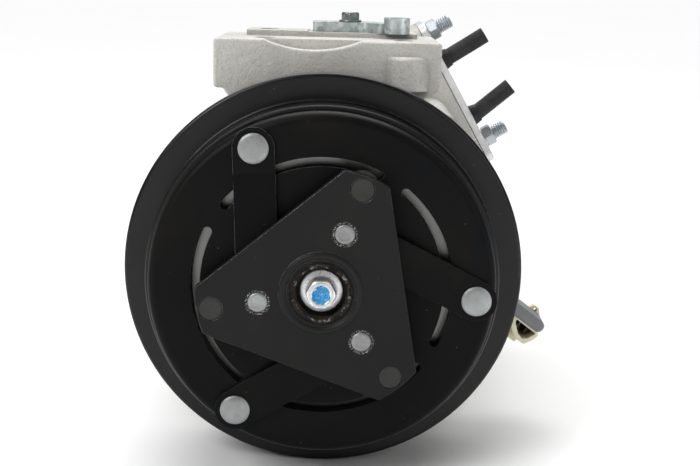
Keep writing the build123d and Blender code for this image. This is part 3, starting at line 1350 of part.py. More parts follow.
with BuildPart() as relief_valve_poppet:
    with BuildSketch(relief_plane(RELIEF_SEAT + 0.02)):
        Circle(3.3)
    extrude(amount=2.2)
    with BuildSketch(relief_plane(RELIEF_SEAT + 2.2)):
        Circle(1.4)
    extrude(amount=6.0)
keep(relief_valve_poppet, "relief_valve_poppet")

SPRING_WIRE_R = 0.45
SPRING_FOOT = RELIEF_SEAT + 2.8
SPRING_HEIGHT = RELIEF_REACH + 3.4 - SPRING_FOOT - 0.55
SPRING_TURNS = 6
with BuildPart() as relief_valve_spring:
    with BuildLine() as spring_path:
        Helix(
            SPRING_HEIGHT / SPRING_TURNS,
            SPRING_HEIGHT,
            2.6,
            center=relief_plane(SPRING_FOOT).origin,
            direction=relief_out,
        )
    with BuildSketch(Plane(origin=spring_path.line @ 0, z_dir=spring_path.line % 0)):
        Circle(SPRING_WIRE_R)
    sweep(is_frenet=True)
keep(relief_valve_spring, "relief_valve_spring")

# ---- port cover, studs, washers and transport plugs ----
PLUG_TUBE_R = 3.3
PLUG_TUBE_L = 16.9
PLUG_FLANGE_R = 4.4
PLUG_CONE_L = 3.4
PLUG_NECK_R = 3.65
PLUG_SUNK = 1.0
with BuildPart() as port_cover:
    with BuildSketch(port_plane(PORT_REACH)):
        RectangleRounded(PORT_LENGTH, PORT_WIDTH - 2, 4.0)
        with Locations(SUCTION_AT, DISCHARGE_AT):
            Circle(4.0, mode=Mode.SUBTRACT)
        with Locations(*STUDS_AT):
            Circle(STUD_BORE_R + 0.3, mode=Mode.SUBTRACT)
    extrude(amount=COVER_T)
    chamfer(port_cover.faces().sort_by(SortBy.AREA)[-2:].edges().filter_by(GeomType.LINE), 0.4)
keep(port_cover, "port_cover")

with BuildPart() as transport_plugs:
    for place, port_r, lean in ((SUCTION_AT, SUCTION_PORT_R, 3.0), (DISCHARGE_AT, DISCHARGE_PORT_R, 10.5)):
        with BuildSketch(port_plane(PORT_REACH - 6)):
            with Locations(place):
                Circle(port_r - 0.05)
        extrude(amount=6)
        with BuildSketch(port_plane(PORT_REACH)):
            with Locations(place):
                Circle(3.95)
        extrude(amount=COVER_T)
        with BuildSketch(port_plane(PORT_REACH + COVER_T)):
            with Locations(place):
                Circle(PLUG_FLANGE_R)
        with BuildSketch(port_plane(PORT_REACH + COVER_T + PLUG_CONE_L)):
            with Locations(place):
                Circle(PLUG_NECK_R)
        loft(ruled=True)
        # the soft tube leans towards the upper end of the cover
        neck = port_plane(PORT_REACH + COVER_T + PLUG_CONE_L - PLUG_SUNK).from_local_coords((*place, 0))
        lean_out = port_out * cos(radians(lean)) + port_along * sin(radians(lean))
        tube_plane = Plane(origin=neck, x_dir=(0, 1, 0), z_dir=lean_out)
        with BuildSketch(tube_plane):
            Circle(PLUG_TUBE_R)
        extrude(amount=PLUG_TUBE_L + PLUG_SUNK)
        with BuildSketch(tube_plane.offset(PLUG_TUBE_L + PLUG_SUNK)):
            Circle(1.3)
        extrude(amount=-14, mode=Mode.SUBTRACT)
keep(transport_plugs, "transport_plugs")

WASHER_T = 1.0
with BuildPart() as port_washers:
    with BuildSketch(port_plane(PORT_REACH + COVER_T)):
        with Locations(*STUDS_AT):
            Circle(5.0)
            Circle(STUD_BORE_R + 0.15, mode=Mode.SUBTRACT)
    extrude(amount=WASHER_T)
keep(port_washers, "port_washers")

STUD_HEX_H = 4.2
STUD_THREAD_L = 6.0
with BuildPart() as port_studs:
    with BuildSketch(port_plane(PORT_REACH - 11)):
        with Locations(*STUDS_AT):
            Circle(STUD_BORE_R)
    extrude(amount=11 + COVER_T + WASHER_T + STUD_HEX_H + STUD_THREAD_L)
    with BuildSketch(port_plane(PORT_REACH + COVER_T + WASHER_T)):
        with Locations(*STUDS_AT):
            RegularPolygon(4.0, 6, major_radius=False)
    extrude(amount=STUD_HEX_H)
keep(port_studs, "port_studs")

# ---- line bracket on the block and the connector's clip ----
BRACKET_T = 3.4
BRACKET_FRONT = 47.5
EYE_AT = (22.9, 43.0)
EYE_R = 4.5
EYE_BORE_R = 2.2
EYE_TOP = 77.6
with BuildPart() as top_bracket:
    with BuildSketch(Plane.XY.offset(LAND_TOP)) as bracket_outline:
        with BuildLine():
            Polyline(
                (-6.4, 61.0),
                (-6.4, BRACKET_FRONT),
                (12.0, BRACKET_FRONT),
                (17.5, 41.0),
                (21.0, 46.0),
                (20.0, 52.0),
                (15.0, 61.0),
                close=True,
            )
        make_face()
        fillet(bracket_outline.vertices(), 1.5)
        with Locations(EYE_AT):
            Circle(EYE_R)
        with Locations(BRACKET_BOLT_AT):
            Circle(BOLT_SHANK_R + 0.3, mode=Mode.SUBTRACT)
    extrude(amount=BRACKET_T)
    with BuildSketch(Plane.XY.offset(LAND_TOP)):
        with Locations(EYE_AT):
            Circle(EYE_R)
    extrude(amount=EYE_TOP - LAND_TOP)
    with BuildSketch(Plane.XY.offset(EYE_TOP)):
        with Locations(EYE_AT):
            Circle(EYE_BORE_R)
    extrude(amount=LAND_TOP - EYE_TOP, mode=Mode.SUBTRACT)
keep(top_bracket, "top_bracket")

CLIP_T = 1.6
with BuildPart() as connector_clip:
    with BuildSketch(plane_at(CLIP_FACE_Y - CLIP_T)) as clip_outline:
        with BuildLine():
            Polyline(
                (55.9, -26.2),
                (60.9, -29.9),
                (58.0, -34.5),
                (50.0, -40.0),
                (43.5, -40.2),
                (38.9, -36.5),
                (39.6, -31.0),
                (46.0, -28.6),
                close=True,
            )
        make_face()
        fillet(clip_outline.vertices(), 1.0)
        with Locations(CLIP_SCREW_AT):
            Circle(BOLT_SHANK_R + 0.3, mode=Mode.SUBTRACT)
    extrude(amount=-CLIP_T)
keep(connector_clip, "connector_clip")

BRACKET_BOLT_HEAD = 3.4
BRACKET_HEX = 6.2
CLIP_HEX = 8.0
with BuildPart() as bracket_bolts:
    with BuildSketch(Plane.XY.offset(LAND_TOP - 12)):
        with Locations(BRACKET_BOLT_AT):
            Circle(BOLT_SHANK_R)
    extrude(amount=12 + BRACKET_T)
    with BuildSketch(Plane.XY.offset(LAND_TOP + BRACKET_T)):
        with Locations(BRACKET_BOLT_AT):
            RegularPolygon(BRACKET_HEX / 2, 6, major_radius=False)
    extrude(amount=BRACKET_BOLT_HEAD)
    with BuildSketch(plane_at(CLIP_FACE_Y + 10)):
        with Locations(CLIP_SCREW_AT):
            Circle(BOLT_SHANK_R)
    extrude(amount=10 + CLIP_T)
    with BuildSketch(plane_at(CLIP_FACE_Y - CLIP_T)):
        with Locations(CLIP_SCREW_AT):
            RegularPolygon(CLIP_HEX / 2, 6, major_radius=False)
    extrude(amount=BRACKET_BOLT_HEAD)
keep(bracket_bolts, "bracket_bolts")
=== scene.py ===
import json
from collections import namedtuple
from math import cos, pi, radians, sin

import bpy
from mathutils import Matrix, Vector


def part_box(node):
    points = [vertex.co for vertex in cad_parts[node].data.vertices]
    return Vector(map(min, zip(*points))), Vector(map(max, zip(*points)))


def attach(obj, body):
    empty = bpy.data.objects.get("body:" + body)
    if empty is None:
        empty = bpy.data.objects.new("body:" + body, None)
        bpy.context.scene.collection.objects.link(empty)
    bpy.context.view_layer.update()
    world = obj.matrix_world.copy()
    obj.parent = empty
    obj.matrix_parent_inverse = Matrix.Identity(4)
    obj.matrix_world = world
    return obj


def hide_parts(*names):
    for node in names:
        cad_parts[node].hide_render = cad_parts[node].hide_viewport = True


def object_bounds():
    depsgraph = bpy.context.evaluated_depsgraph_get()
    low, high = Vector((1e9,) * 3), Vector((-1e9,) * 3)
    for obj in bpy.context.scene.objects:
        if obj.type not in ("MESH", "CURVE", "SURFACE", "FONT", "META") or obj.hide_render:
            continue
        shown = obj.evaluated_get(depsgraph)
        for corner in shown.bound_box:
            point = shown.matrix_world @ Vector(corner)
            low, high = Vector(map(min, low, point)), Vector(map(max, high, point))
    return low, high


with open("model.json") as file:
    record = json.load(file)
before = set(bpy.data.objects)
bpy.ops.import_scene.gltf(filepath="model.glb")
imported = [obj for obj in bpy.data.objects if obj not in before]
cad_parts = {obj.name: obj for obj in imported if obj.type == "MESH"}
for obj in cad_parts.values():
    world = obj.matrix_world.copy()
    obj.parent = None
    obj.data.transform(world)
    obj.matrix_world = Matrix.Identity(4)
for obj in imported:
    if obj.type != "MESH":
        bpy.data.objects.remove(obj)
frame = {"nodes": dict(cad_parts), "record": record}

cad_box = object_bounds()
NODES = frame["nodes"]
MOUNTS = {mount["name"]: mount for mount in frame["record"]["mounts"]}
SLOT_OF = {part["node"]: part["material_slot"] for part in frame["record"]["subparts"]}
SHELL_RADIUS = 0.055  # of the casing's round shell
FACE_RADIUS = 0.050  # of the pulley's bare friction face
PLATE_THICKNESS = 0.003
UP_LEFT = Vector((-1, 0, 1)).normalized()


# ---- materials: each is a Principled shader that node chains vary ----
class Surface:
    """A Principled material in the making. Its textures use the object's own coordinates, in metres."""

    def __init__(self, name, colour, roughness, metallic=0.0, specular=0.5):
        self.mat = bpy.data.materials.new(name)
        self.mat.use_nodes = True
        self.tree = self.mat.node_tree
        self.shader = self.tree.nodes["Principled BSDF"]
        self.shader.inputs["Base Color"].default_value = (*colour, 1)
        self.shader.inputs["Roughness"].default_value = roughness
        self.shader.inputs["Metallic"].default_value = metallic
        self.shader.inputs["Specular IOR Level"].default_value = specular
        self.colour = tuple(colour)
        self.colour_out = None
        self.normal_out = None
        self.place = self.node("TexCoord").outputs["Object"]

    def node(self, kind, **values):
        made = self.tree.nodes.new("ShaderNode" + kind)
        for key, value in values.items():
            setattr(made, key, value)
        return made

    def wire(self, source, target):
        self.tree.links.new(source, target)

    def maths(self, operation, a, b=0.0, clamp=False):
        """One maths node; a and b are sockets or numbers."""
        made = self.node("Math", operation=operation, use_clamp=clamp)
        for value, socket in ((a, made.inputs[0]), (b, made.inputs[1])):
            if isinstance(value, (int, float)):
                socket.default_value = value
            else:
                self.wire(value, socket)
        return made.outputs[0]

    def stretched(self, x, y, z):
        """The object's coordinates, scaled on each axis."""
        scaled = self.node("Mapping")
        scaled.inputs["Scale"].default_value = (x, y, z)
        self.wire(self.place, scaled.inputs["Vector"])
        return scaled.outputs[0]

    def noise(self, scale, detail=3.0, rough=0.5, vector=None, distortion=0.0):
        made = self.node("TexNoise")
        made.inputs["Scale"].default_value = scale
        made.inputs["Detail"].default_value = detail
        made.inputs["Roughness"].default_value = rough
        made.inputs["Distortion"].default_value = distortion
        self.wire(vector or self.place, made.inputs["Vector"])
        return made.outputs["Fac"]

    def cells(self, scale, output="Distance"):
        made = self.node("TexVoronoi")
        made.inputs["Scale"].default_value = scale
        self.wire(self.place, made.inputs["Vector"])
        return made.outputs[output]

    def span(self, value, low, high, to_low=0.0, to_high=1.0, smooth=False):
        """value's run from low to high, mapped to to_low and to_high and clamped."""
        kind = "SMOOTHSTEP" if smooth else "LINEAR"
        made = self.node("MapRange", interpolation_type=kind)
        self.wire(value, made.inputs["Value"])
        settings = ("From Min", low), ("From Max", high), ("To Min", to_low), ("To Max", to_high)
        for key, number in settings:
            made.inputs[key].default_value = number
        return made.outputs[0]

    def from_axis(self):
        """Distance from the shaft's axis."""
        flat = self.stretched(1, 0, 1)
        length = self.node("VectorMath", operation="LENGTH")
        self.wire(flat, length.inputs[0])
        return length.outputs["Value"]

    def along(self, axis):
        split = self.node("SeparateXYZ")
        self.wire(self.place, split.inputs[0])
        return split.outputs[axis]

    def tint(self, colour, amount):
        """Mix another colour over the base by amount, a socket from 0 to 1."""
        mix = self.node("Mix", data_type="RGBA")
        under, over = [socket for socket in mix.inputs if socket.type == "RGBA"]
        if self.colour_out is None:
            under.default_value = (*self.colour, 1)
        else:
            self.wire(self.colour_out, under)
        over.default_value = (*colour, 1)
        self.wire(amount, mix.inputs["Factor"])
        self.colour_out = [socket for socket in mix.outputs if socket.type == "RGBA"][0]
        self.wire(self.colour_out, self.shader.inputs["Base Color"])

    def distance(self, point):
        """Distance from a point, leaving out the part along the shaft."""
        away = self.node("VectorMath", operation="SUBTRACT")
        self.wire(self.place, away.inputs[0])
        away.inputs[1].default_value = point
        spread = self.node("VectorMath", operation="MULTIPLY")
        self.wire(away.outputs[0], spread.inputs[0])
        spread.inputs[1].default_value = (1, 0, 1)
        length = self.node("VectorMath", operation="LENGTH")
        self.wire(spread.outputs[0], length.inputs[0])
        return length.outputs["Value"]

    def toward(self, direction):
        """How far the surface point lies in this direction from the frame's origin."""
        dot = self.node("VectorMath", operation="DOT_PRODUCT")
        self.wire(self.place, dot.inputs[0])
        dot.inputs[1].default_value = direction
        return dot.outputs["Value"]

    def band(self, value, low, high, soft):
        """1 between low and high, falling to 0 over soft outside them."""
        rise = self.span(value, low - soft, low, 0.0, 1.0, smooth=True)
        fall = self.span(value, high, high + soft, 1.0, 0.0, smooth=True)
        return self.maths("MULTIPLY", rise, fall)

    def both(self, a, b):
        return self.maths("MULTIPLY", a, b)

    def either(self, a, b):
        return self.maths("MAXIMUM", a, b)

    def drive(self, socket, value):
        self.wire(value, self.shader.inputs[socket])

    def vary(self, socket, value, low, high):
        """Drive one of the shader's sockets from a texture, whose values lie mostly from 0.3 to 0.7."""
        self.drive(socket, self.span(value, 0.3, 0.7, low, high))

    def bump(self, height, depth):
        """Raise the surface by height (0 to 1) times depth, in metres."""
        made = self.node("Bump")
        made.inputs["Strength"].default_value = 1.0
        made.inputs["Distance"].default_value = depth
        self.wire(height, made.inputs["Height"])
        if self.normal_out is not None:
            self.wire(self.normal_out, made.inputs["Normal"])
        self.normal_out = made.outputs[0]
        self.wire(self.normal_out, self.shader.inputs["Normal"])

    def soften(self, radius):
        """Shade the edges as if they were rounded. Called before bump."""
        made = self.node("Bevel", samples=6)
        made.inputs["Radius"].default_value = radius
        self.normal_out = made.outputs[0]
        self.wire(self.normal_out, self.shader.inputs["Normal"])

    def edges(self, radius, low=0.02, high=0.18):
        """1 on sharp edges and 0 on flat ground."""
        rounded = self.node("Bevel", samples=6)
        rounded.inputs["Radius"].default_value = radius
        true = self.node("NewGeometry")
        dot = self.node("VectorMath", operation="DOT_PRODUCT")
        self.wire(rounded.outputs[0], dot.inputs[0])
        self.wire(true.outputs["Normal"], dot.inputs[1])
        away = self.maths("SUBTRACT", 1.0, dot.outputs["Value"])
        return self.span(away, low, high)

    def corners(self, distance):
        """1 in crevices and 0 on open ground."""
        made = self.node("AmbientOcclusion", samples=6)
        made.inputs["Distance"].default_value = distance
        return self.maths("SUBTRACT", 1.0, made.outputs["AO"], clamp=True)


def cast_aluminium(name, machined=None):
    """Blasted die casting. machined takes the surface and gives where it was cut smooth."""
    s = Surface(name, (0.53, 0.516, 0.480), 0.55, metallic=0.35)
    patches = s.noise(48, 4, 0.6)
    grain = s.noise(1500, 5, 0.7)
    lumps = s.noise(560, 3, 0.6)
    s.tint((0.63, 0.615, 0.575), s.span(patches, 0.35, 0.65))
    s.tint((0.22, 0.218, 0.21), s.span(grain, 0.52, 0.70, 0.0, 0.6))
    s.tint((0.62, 0.62, 0.61), s.span(s.noise(1900, 2, 0.6), 0.60, 0.72, 0.0, 0.5))
    # Painted shade: darker in crevices, recesses and under the block, where shade falls.
    s.tint((0.10, 0.097, 0.09), s.span(s.corners(0.025), 0.42, 0.95, 0.0, 0.85))
    s.tint((0.60, 0.60, 0.595), s.both(s.edges(0.0006), s.span(lumps, 0.35, 0.6, 0.2, 0.7)))
    rough = s.span(grain, 0.3, 0.7, 0.44, 0.64)
    bumps = s.maths("ADD", s.maths("MULTIPLY", grain, 0.5), s.maths("MULTIPLY", lumps, 0.5))
    s.soften(0.0007)
    if machined is None:
        s.drive("Roughness", rough)
        s.bump(bumps, 0.00045)
        return s.mat
    smooth = machined(s)
    turned = s.noise(1.0, 2, 0.6, vector=s.stretched(30, 2600, 30))
    s.tint((0.50, 0.50, 0.49), s.maths("MULTIPLY", smooth, 0.8))
    keep_rough = s.maths("SUBTRACT", 1.0, smooth)
    part_rough = s.maths("MULTIPLY", rough, keep_rough)
    part_smooth = s.maths("MULTIPLY", s.span(turned, 0.3, 0.7, 0.30, 0.38), smooth)
    s.drive("Roughness", s.maths("ADD", part_rough, part_smooth))
    s.bump(s.maths("MULTIPLY", bumps, keep_rough), 0.00045)
    s.bump(s.maths("MULTIPLY", turned, smooth), 0.00002)
    return s.mat


def shell_turned(s):
    """The round shell of the casing is turned smooth; the block and the lugs are as cast."""
    radius = s.from_axis()
    near = s.maths("ABSOLUTE", s.maths("SUBTRACT", radius, SHELL_RADIUS))
    return s.span(near, 0.0002, 0.0005, 1.0, 0.0)


def coated_black(name, gloss, shine, tones, chipping_and_highlight=0.0, bare=None, marks=None):
    """Black coat over steel, uneven in tone, with dust, and with bright chipped edges that painted highlight
    makes brighter on the upper-left side.

    tones are the coat's deep, cool and warm blacks. bare takes the surface and gives where there is
    no coat; such a piece is turned. marks takes the surface and adds its own tints.
    """
    deep, cool, warm = tones
    s = Surface(name, deep, gloss, specular=shine)
    smears = s.noise(70, 5, 0.6)
    fine = s.noise(2600, 2)
    s.tint(cool, s.span(s.noise(28, 3, 0.6), 0.42, 0.66))
    s.tint(warm, s.span(s.noise(36, 4, 0.6, distortion=0.8), 0.52, 0.72))
    specks = s.span(s.cells(420), 0.04, 0.08, 1.0, 0.0)
    lonely = s.span(s.noise(300, 1), 0.57, 0.63)
    s.tint((0.30, 0.29, 0.27), s.both(s.both(specks, lonely), s.span(smears, 0.0, 0.2, 0.0, 0.3)))
    if marks:
        marks(s)
    stray = s.maths("ADD", s.maths("MULTIPLY", smears, 0.7), s.maths("MULTIPLY", fine, 0.3))
    rough = s.span(stray, 0.3, 0.7, gloss - 0.05, gloss + 0.08)
    if chipping_and_highlight:
        # Edge brightening is partly chipped wear and partly painted highlight: edges on the upper-left side
        # are painted brighter, where the light catches them.
        chips = s.span(s.noise(500, 3, 0.6), 0.36, 0.52)
        lit_upper_left = s.span(s.toward(UP_LEFT), 0.0005, 0.012, 0.22, 1.0)
        edges = s.both(s.edges(0.00016, 0.03, 0.16), chips)
        chipped_and_lit = s.maths("MULTIPLY", s.both(edges, lit_upper_left), chipping_and_highlight)
        s.tint((0.40, 0.40, 0.395), chipped_and_lit)
        s.drive("Metallic", chipped_and_lit)
    if bare:
        cut = bare(s)
        s.tint((0.19, 0.188, 0.18), cut)
        s.drive("Metallic", cut)
    s.drive("Roughness", rough)
    s.soften(0.0004)
    s.bump(fine, 0.000015)
    if bare:
        rings = s.node("TexNoise", noise_dimensions="1D")
        rings.inputs["Scale"].default_value = 2400
        rings.inputs["Detail"].default_value = 2
        s.wire(s.from_axis(), rings.inputs["W"])
        s.bump(rings.outputs["Fac"], 0.000015)
    return s.mat


def friction_face(s):
    """The part of the pulley's face that the armature rubs on is bare steel."""
    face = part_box("pulley")[0].y
    front = s.span(s.along("Y"), face + 0.0001, face + 0.0005, 1.0, 0.0)
    return s.both(front, s.span(s.from_axis(), FACE_RADIUS, FACE_RADIUS + 0.0005, 0.9, 0.0))


def rivet_marks(s):
    """The collar round the hub is greyer, and the coat is broken where the small rivets were set."""
    plate_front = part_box("drive_plate")[1].y - PLATE_THICKNESS
    front = s.span(s.along("Y"), plate_front + 0.0001, plate_front + 0.0003, 1.0, 0.0)
    collar = s.band(s.from_axis(), 0.0104, 0.0119, 0.0006)
    s.tint((0.024, 0.024, 0.0245), s.maths("MULTIPLY", s.both(collar, front), 0.2))
    teeth = s.span(s.noise(2300, 2, 0.6), 0.52, 0.60)
    for low, high in clusters("inner_rivets"):
        ring = s.band(s.distance((low + high) / 2), 0.0031, 0.0036, 0.0003)
        s.tint((0.50, 0.49, 0.47), s.maths("MULTIPLY", s.both(s.both(ring, teeth), front), 0.55))


def hub_metal(name):
    """The boss: coated dark brown inside, with bright broken stake marks round its lip."""
    s = Surface(name, (0.008, 0.0065, 0.005), 0.5, specular=0.15)
    s.tint((0.018, 0.0125, 0.008), s.span(s.noise(260, 4, 0.6), 0.45, 0.68))
    # Painted shade: darker in the corners of the recess.
    s.tint((0.008, 0.007, 0.006), s.span(s.corners(0.003), 0.5, 1.0, 0.0, 0.8))
    boss_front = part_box("hub_boss")[0].y
    front = s.span(s.along("Y"), boss_front + 0.0003, boss_front + 0.0005, 1.0, 0.0)
    lip = s.both(s.band(s.from_axis(), 0.0080, 0.0086, 0.0003), front)
    marks = s.both(lip, s.span(s.noise(520, 3, 0.7), 0.53, 0.64))
    s.tint((0.26, 0.25, 0.23), marks)
    s.drive("Metallic", marks)
    s.vary("Roughness", s.noise(900, 3), 0.36, 0.60)
    s.soften(0.0002)
    s.bump(s.noise(800, 4, 0.7), 0.00012)
    return s.mat


def zinc(name, colour=(0.66, 0.67, 0.66), rough=0.30, spangle=900, corner_shade=0.35, crystals=0.0, metal=1.0):
    """Bright zinc plate: cool grey, slightly cloudy, darkened in the corners by painted shade. crystals adds
    spangle.
    """
    s = Surface(name, colour, rough, metallic=metal)
    clouds = s.noise(240, 4, 0.6)
    s.tint(tuple(c * 0.72 for c in colour), s.span(clouds, 0.42, 0.72, 0.0, 0.7))
    s.tint((0.48, 0.53, 0.56), s.span(s.noise(110, 3), 0.5, 0.7, 0.0, 0.35))
    if crystals:
        shades = s.span(s.cells(620, "Color"), 0.2, 0.8)
        s.tint((0.30, 0.36, 0.365), s.maths("MULTIPLY", shades, crystals))
    # Painted shade: darker in the corners and crevices.
    s.tint((0.16, 0.15, 0.14), s.span(s.corners(0.0015), 0.4, 1.0, 0.0, corner_shade))
    s.vary("Roughness", s.noise(spangle, 3, 0.6), rough - 0.08, rough + 0.16)
    s.soften(0.00025)
    s.bump(s.noise(spangle * 1.6, 2), 0.00003)
    return s.mat


def bolt_zinc(name):
    """The hub bolt's bright plate, with a dab of blue paint in the hollow of its head."""
    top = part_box("hub_bolt")[0].y
    s = Surface(name, (0.93, 0.94, 0.94), 0.30, metallic=0.6)
    s.tint((0.72, 0.76, 0.80), s.span(s.noise(320, 3, 0.6), 0.45, 0.7, 0.0, 0.6))
    depth = s.along("Y")
    beside = s.both(s.band(s.from_axis(), 0.0037, 0.0045, 0.0002), s.span(depth, top + 0.0006, top + 0.0014))
    s.tint((0.16, 0.15, 0.13), s.maths("MULTIPLY", beside, 0.75))
    crown = s.span(depth, top + 0.0003, top + 0.0006, 1.0, 0.0)
    rim = s.both(s.band(s.from_axis(), 0.0030, 0.0037, 0.0001), crown)
    s.tint((0.36, 0.34, 0.30), s.maths("MULTIPLY", rim, 0.6))
    low_centre = s.distance((0.0001, 0.0, -0.0003))
    ragged = s.maths("ADD", low_centre, s.span(s.noise(420, 3, 0.7), 0.3, 0.7, -0.0006, 0.0007))
    hollow = s.span(depth, top + 0.0016, top + 0.0018, 1.0, 0.0)
    covered = s.both(s.span(ragged, 0.0027, 0.0029, 1.0, 0.0), hollow)
    dab = s.both(covered, s.span(s.noise(900, 3, 0.7), 0.30, 0.38))
    s.tint((0.028, 0.235, 0.50), dab)
    s.tint((0.055, 0.34, 0.64), s.both(dab, s.span(s.noise(1300, 2, 0.6), 0.54, 0.62)))
    s.drive("Metallic", s.span(dab, 0.0, 1.0, 0.6, 0.0))
    smooth = s.span(s.noise(1100, 3, 0.6), 0.3, 0.7, 0.24, 0.40)
    s.drive("Roughness", s.either(smooth, s.maths("MULTIPLY", dab, 0.75)))
    s.soften(0.0001)
    s.bump(s.noise(1500, 3, 0.6), 0.00001)
    return s.mat


def steel(name, colour=(0.50, 0.50, 0.505), rough=0.24, brushed=(40, 2600, 40)):
    """Bare ground or turned steel; brushed stretches its fine lines."""
    s = Surface(name, colour, rough, metallic=1.0)
    lines = s.noise(1.0, 3, 0.6, vector=s.stretched(*brushed))
    s.tint(tuple(c * 0.72 for c in colour), s.span(s.noise(160, 4), 0.45, 0.75, 0.0, 0.7))
    s.vary("Roughness", lines, rough - 0.06, rough + 0.10)
    s.soften(0.0002)
    s.bump(lines, 0.00002)
    return s.mat


def plastic(name, colour, shade, rough=0.42, shade_reach=0.0015):
    """Moulded plastic with a fine spark-eroded grain and slight blotches."""
    s = Surface(name, colour, rough, specular=0.45)
    grain = s.noise(1500, 2)
    s.tint(shade, s.span(s.noise(120, 4), 0.4, 0.7, 0.0, 0.8))
    # Painted shade: darker in the corners and recesses.
    s.tint(tuple(c * 0.08 for c in colour), s.span(s.corners(shade_reach), 0.5, 0.95, 0.0, 0.8))
    s.vary("Roughness", grain, rough - 0.08, rough + 0.12)
    s.soften(0.0003)
    s.bump(grain, 0.00004)
    return s.mat


def rubber(name, colour=(0.014, 0.014, 0.0145), rough=0.62):
    """Black moulded rubber, greyer where it has bloomed and on its edges."""
    s = Surface(name, colour, rough, specular=0.35)
    s.tint((0.035, 0.034, 0.033), s.span(s.noise(90, 4), 0.45, 0.75))
    s.tint((0.05, 0.05, 0.05), s.span(s.noise(2200, 2), 0.62, 0.75, 0.0, 0.5))
    s.vary("Roughness", s.noise(800, 3), rough - 0.1, rough + 0.12)
    s.soften(0.0003)
    s.bump(s.noise(1400, 3), 0.00005)
    return s.mat


def copper_wire(name):
    """Enamelled copper, wound in fine turns across the shaft."""
    s = Surface(name, (0.60, 0.24, 0.10), 0.32, metallic=0.9)
    turns = s.node("TexWave", wave_type="BANDS", bands_direction="Y")
    turns.inputs["Scale"].default_value = 600
    turns.inputs["Distortion"].default_value = 0.6
    s.wire(s.place, turns.inputs["Vector"])
    s.tint((0.32, 0.10, 0.04), s.span(turns.outputs["Fac"], 0.0, 0.35, 0.9, 0.0))
    s.vary("Roughness", s.noise(300, 3), 0.24, 0.45)
    s.bump(turns.outputs["Fac"], 0.0003)
    return s.mat


# ---- pieces turned and threaded here, in place of plainer CAD nodes ----
Ring = namedtuple("Ring", "along radius flats thread", defaults=(None, 0.0))
THREAD_PITCH = 0.001
THREAD_DEPTH = 0.0005
M6 = 0.0030


def clusters(node, reach=0.012):
    """The boxes of a node's separate solids, each smaller than reach."""
    found = []  # lowest corner, highest corner and first point of each
    for vertex in NODES[node].data.vertices:
        point = vertex.co
        for box in found:
            if (point - box[2]).length < reach:
                box[0] = Vector(map(min, box[0], point))
                box[1] = Vector(map(max, box[1], point))
                break
        else:
            found.append([point.copy(), point.copy(), point.copy()])
    return [tuple(box[:2]) for box in found]


def ring_radius(ring, turn):
    """A ring's radius at this angle: round, or cut to a hexagon, or grooved by a thread."""
    radius = ring.radius
    if ring.flats:
        from_flat = (turn + pi / 6) % (pi / 3) - pi / 6
        radius = min(radius, ring.flats / cos(from_flat))
    if ring.thread:
        phase = (ring.along / THREAD_PITCH + turn / (2 * pi)) % 1.0
        radius -= ring.thread * abs(2 * phase - 1) ** 1.3
    return radius


def lathe(name, solids, steps=96):
    """One mesh of several turned solids: (origin, axis, flat's direction, rings from end to end)."""
    points, faces = [], []
    for origin, axis, across, rings in solids:
        side = axis.cross(across)
        base = len(points)
        for ring in rings:
            for step in range(steps):
                turn = 2 * pi * step / steps
                out = across * cos(turn) + side * sin(turn)
                points.append(origin + axis * ring.along + out * ring_radius(ring, turn))
        for k in range(len(rings) - 1):
            for step in range(steps):
                a, b = base + k * steps + step, base + k * steps + (step + 1) % steps
                faces.append((a, b, b + steps, a + steps))
        faces.append([base + step for step in reversed(range(steps))])
        faces.append([base + (len(rings) - 1) * steps + step for step in range(steps)])
    mesh = bpy.data.meshes.new(name)
    mesh.from_pydata(points, [], faces)
    for face in mesh.polygons:
        face.use_smooth = len(face.vertices) == 4
    mesh.set_sharp_from_angle(angle=radians(40))
    made = bpy.data.objects.new(name, mesh)
    bpy.context.scene.collection.objects.link(made)
    return made


def rounded(rings, radius, steps=4):
    """Round the corners of a profile of rings, each by radius or by near half of the shorter side."""
    out = [rings[0]]
    for before, corner, after in zip(rings, rings[1:], rings[2:]):
        here = Vector((corner.along, corner.radius))
        to_before = Vector((before.along, before.radius)) - here
        to_after = Vector((after.along, after.radius)) - here
        reach = min(radius, to_before.length * 0.45, to_after.length * 0.45)
        if reach < 1e-6 or to_before.normalized().dot(to_after.normalized()) < -0.999:
            out.append(corner)
            continue
        start = here + to_before.normalized() * reach
        end = here + to_after.normalized() * reach
        for step in range(steps + 1):
            t = step / steps
            place = start * (1 - t) ** 2 + here * 2 * t * (1 - t) + end * t ** 2
            out.append(Ring(place.x, place.y, corner.flats, corner.thread))
    out.append(rings[-1])
    return out


def threaded(start, end, depth=THREAD_DEPTH):
    """Rings along an M6 thread, ten to each turn of it."""
    count = round(abs(end - start) / THREAD_PITCH * 10)
    return [Ring(start + (end - start) * k / count, M6, None, depth) for k in range(count + 1)]


FRONT = Vector((0, -1, 0))
UP = Vector((0, 0, 1))
CENTRE = 0.0001  # radius of the small flat in the middle of an end


def make_hub_bolt():
    low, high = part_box("hub_bolt")
    head, flange_top, seat, tip = -low.y, -low.y - 0.0046, -low.y - 0.0058, -high.y
    rings = [
        Ring(head - 0.0012, CENTRE),
        Ring(head - 0.0011, 0.0020),
        Ring(head - 0.0004, 0.0026),
        Ring(head, 0.0031),
        Ring(head - 0.0001, 0.0039, 0.0036),
        Ring(head - 0.0005, 0.0043, 0.0039),
        Ring(head - 0.0012, 0.00450, 0.0039),
        Ring(flange_top + 0.0002, 0.00450, 0.0039),
        Ring(flange_top, 0.0048),
        Ring(seat + 0.0009, 0.0064),
        Ring(seat + 0.0002, high.x),
        Ring(seat, 0.0064),
        Ring(seat, M6),
    ]
    shank = threaded(seat - 0.0005, tip + 0.0008, 0.00055) + [Ring(tip, 0.0022), Ring(tip, CENTRE)]
    return lathe("hub_flange_bolt", [(Vector(), FRONT, UP, rounded(rings, 0.00035) + shank)], 144)


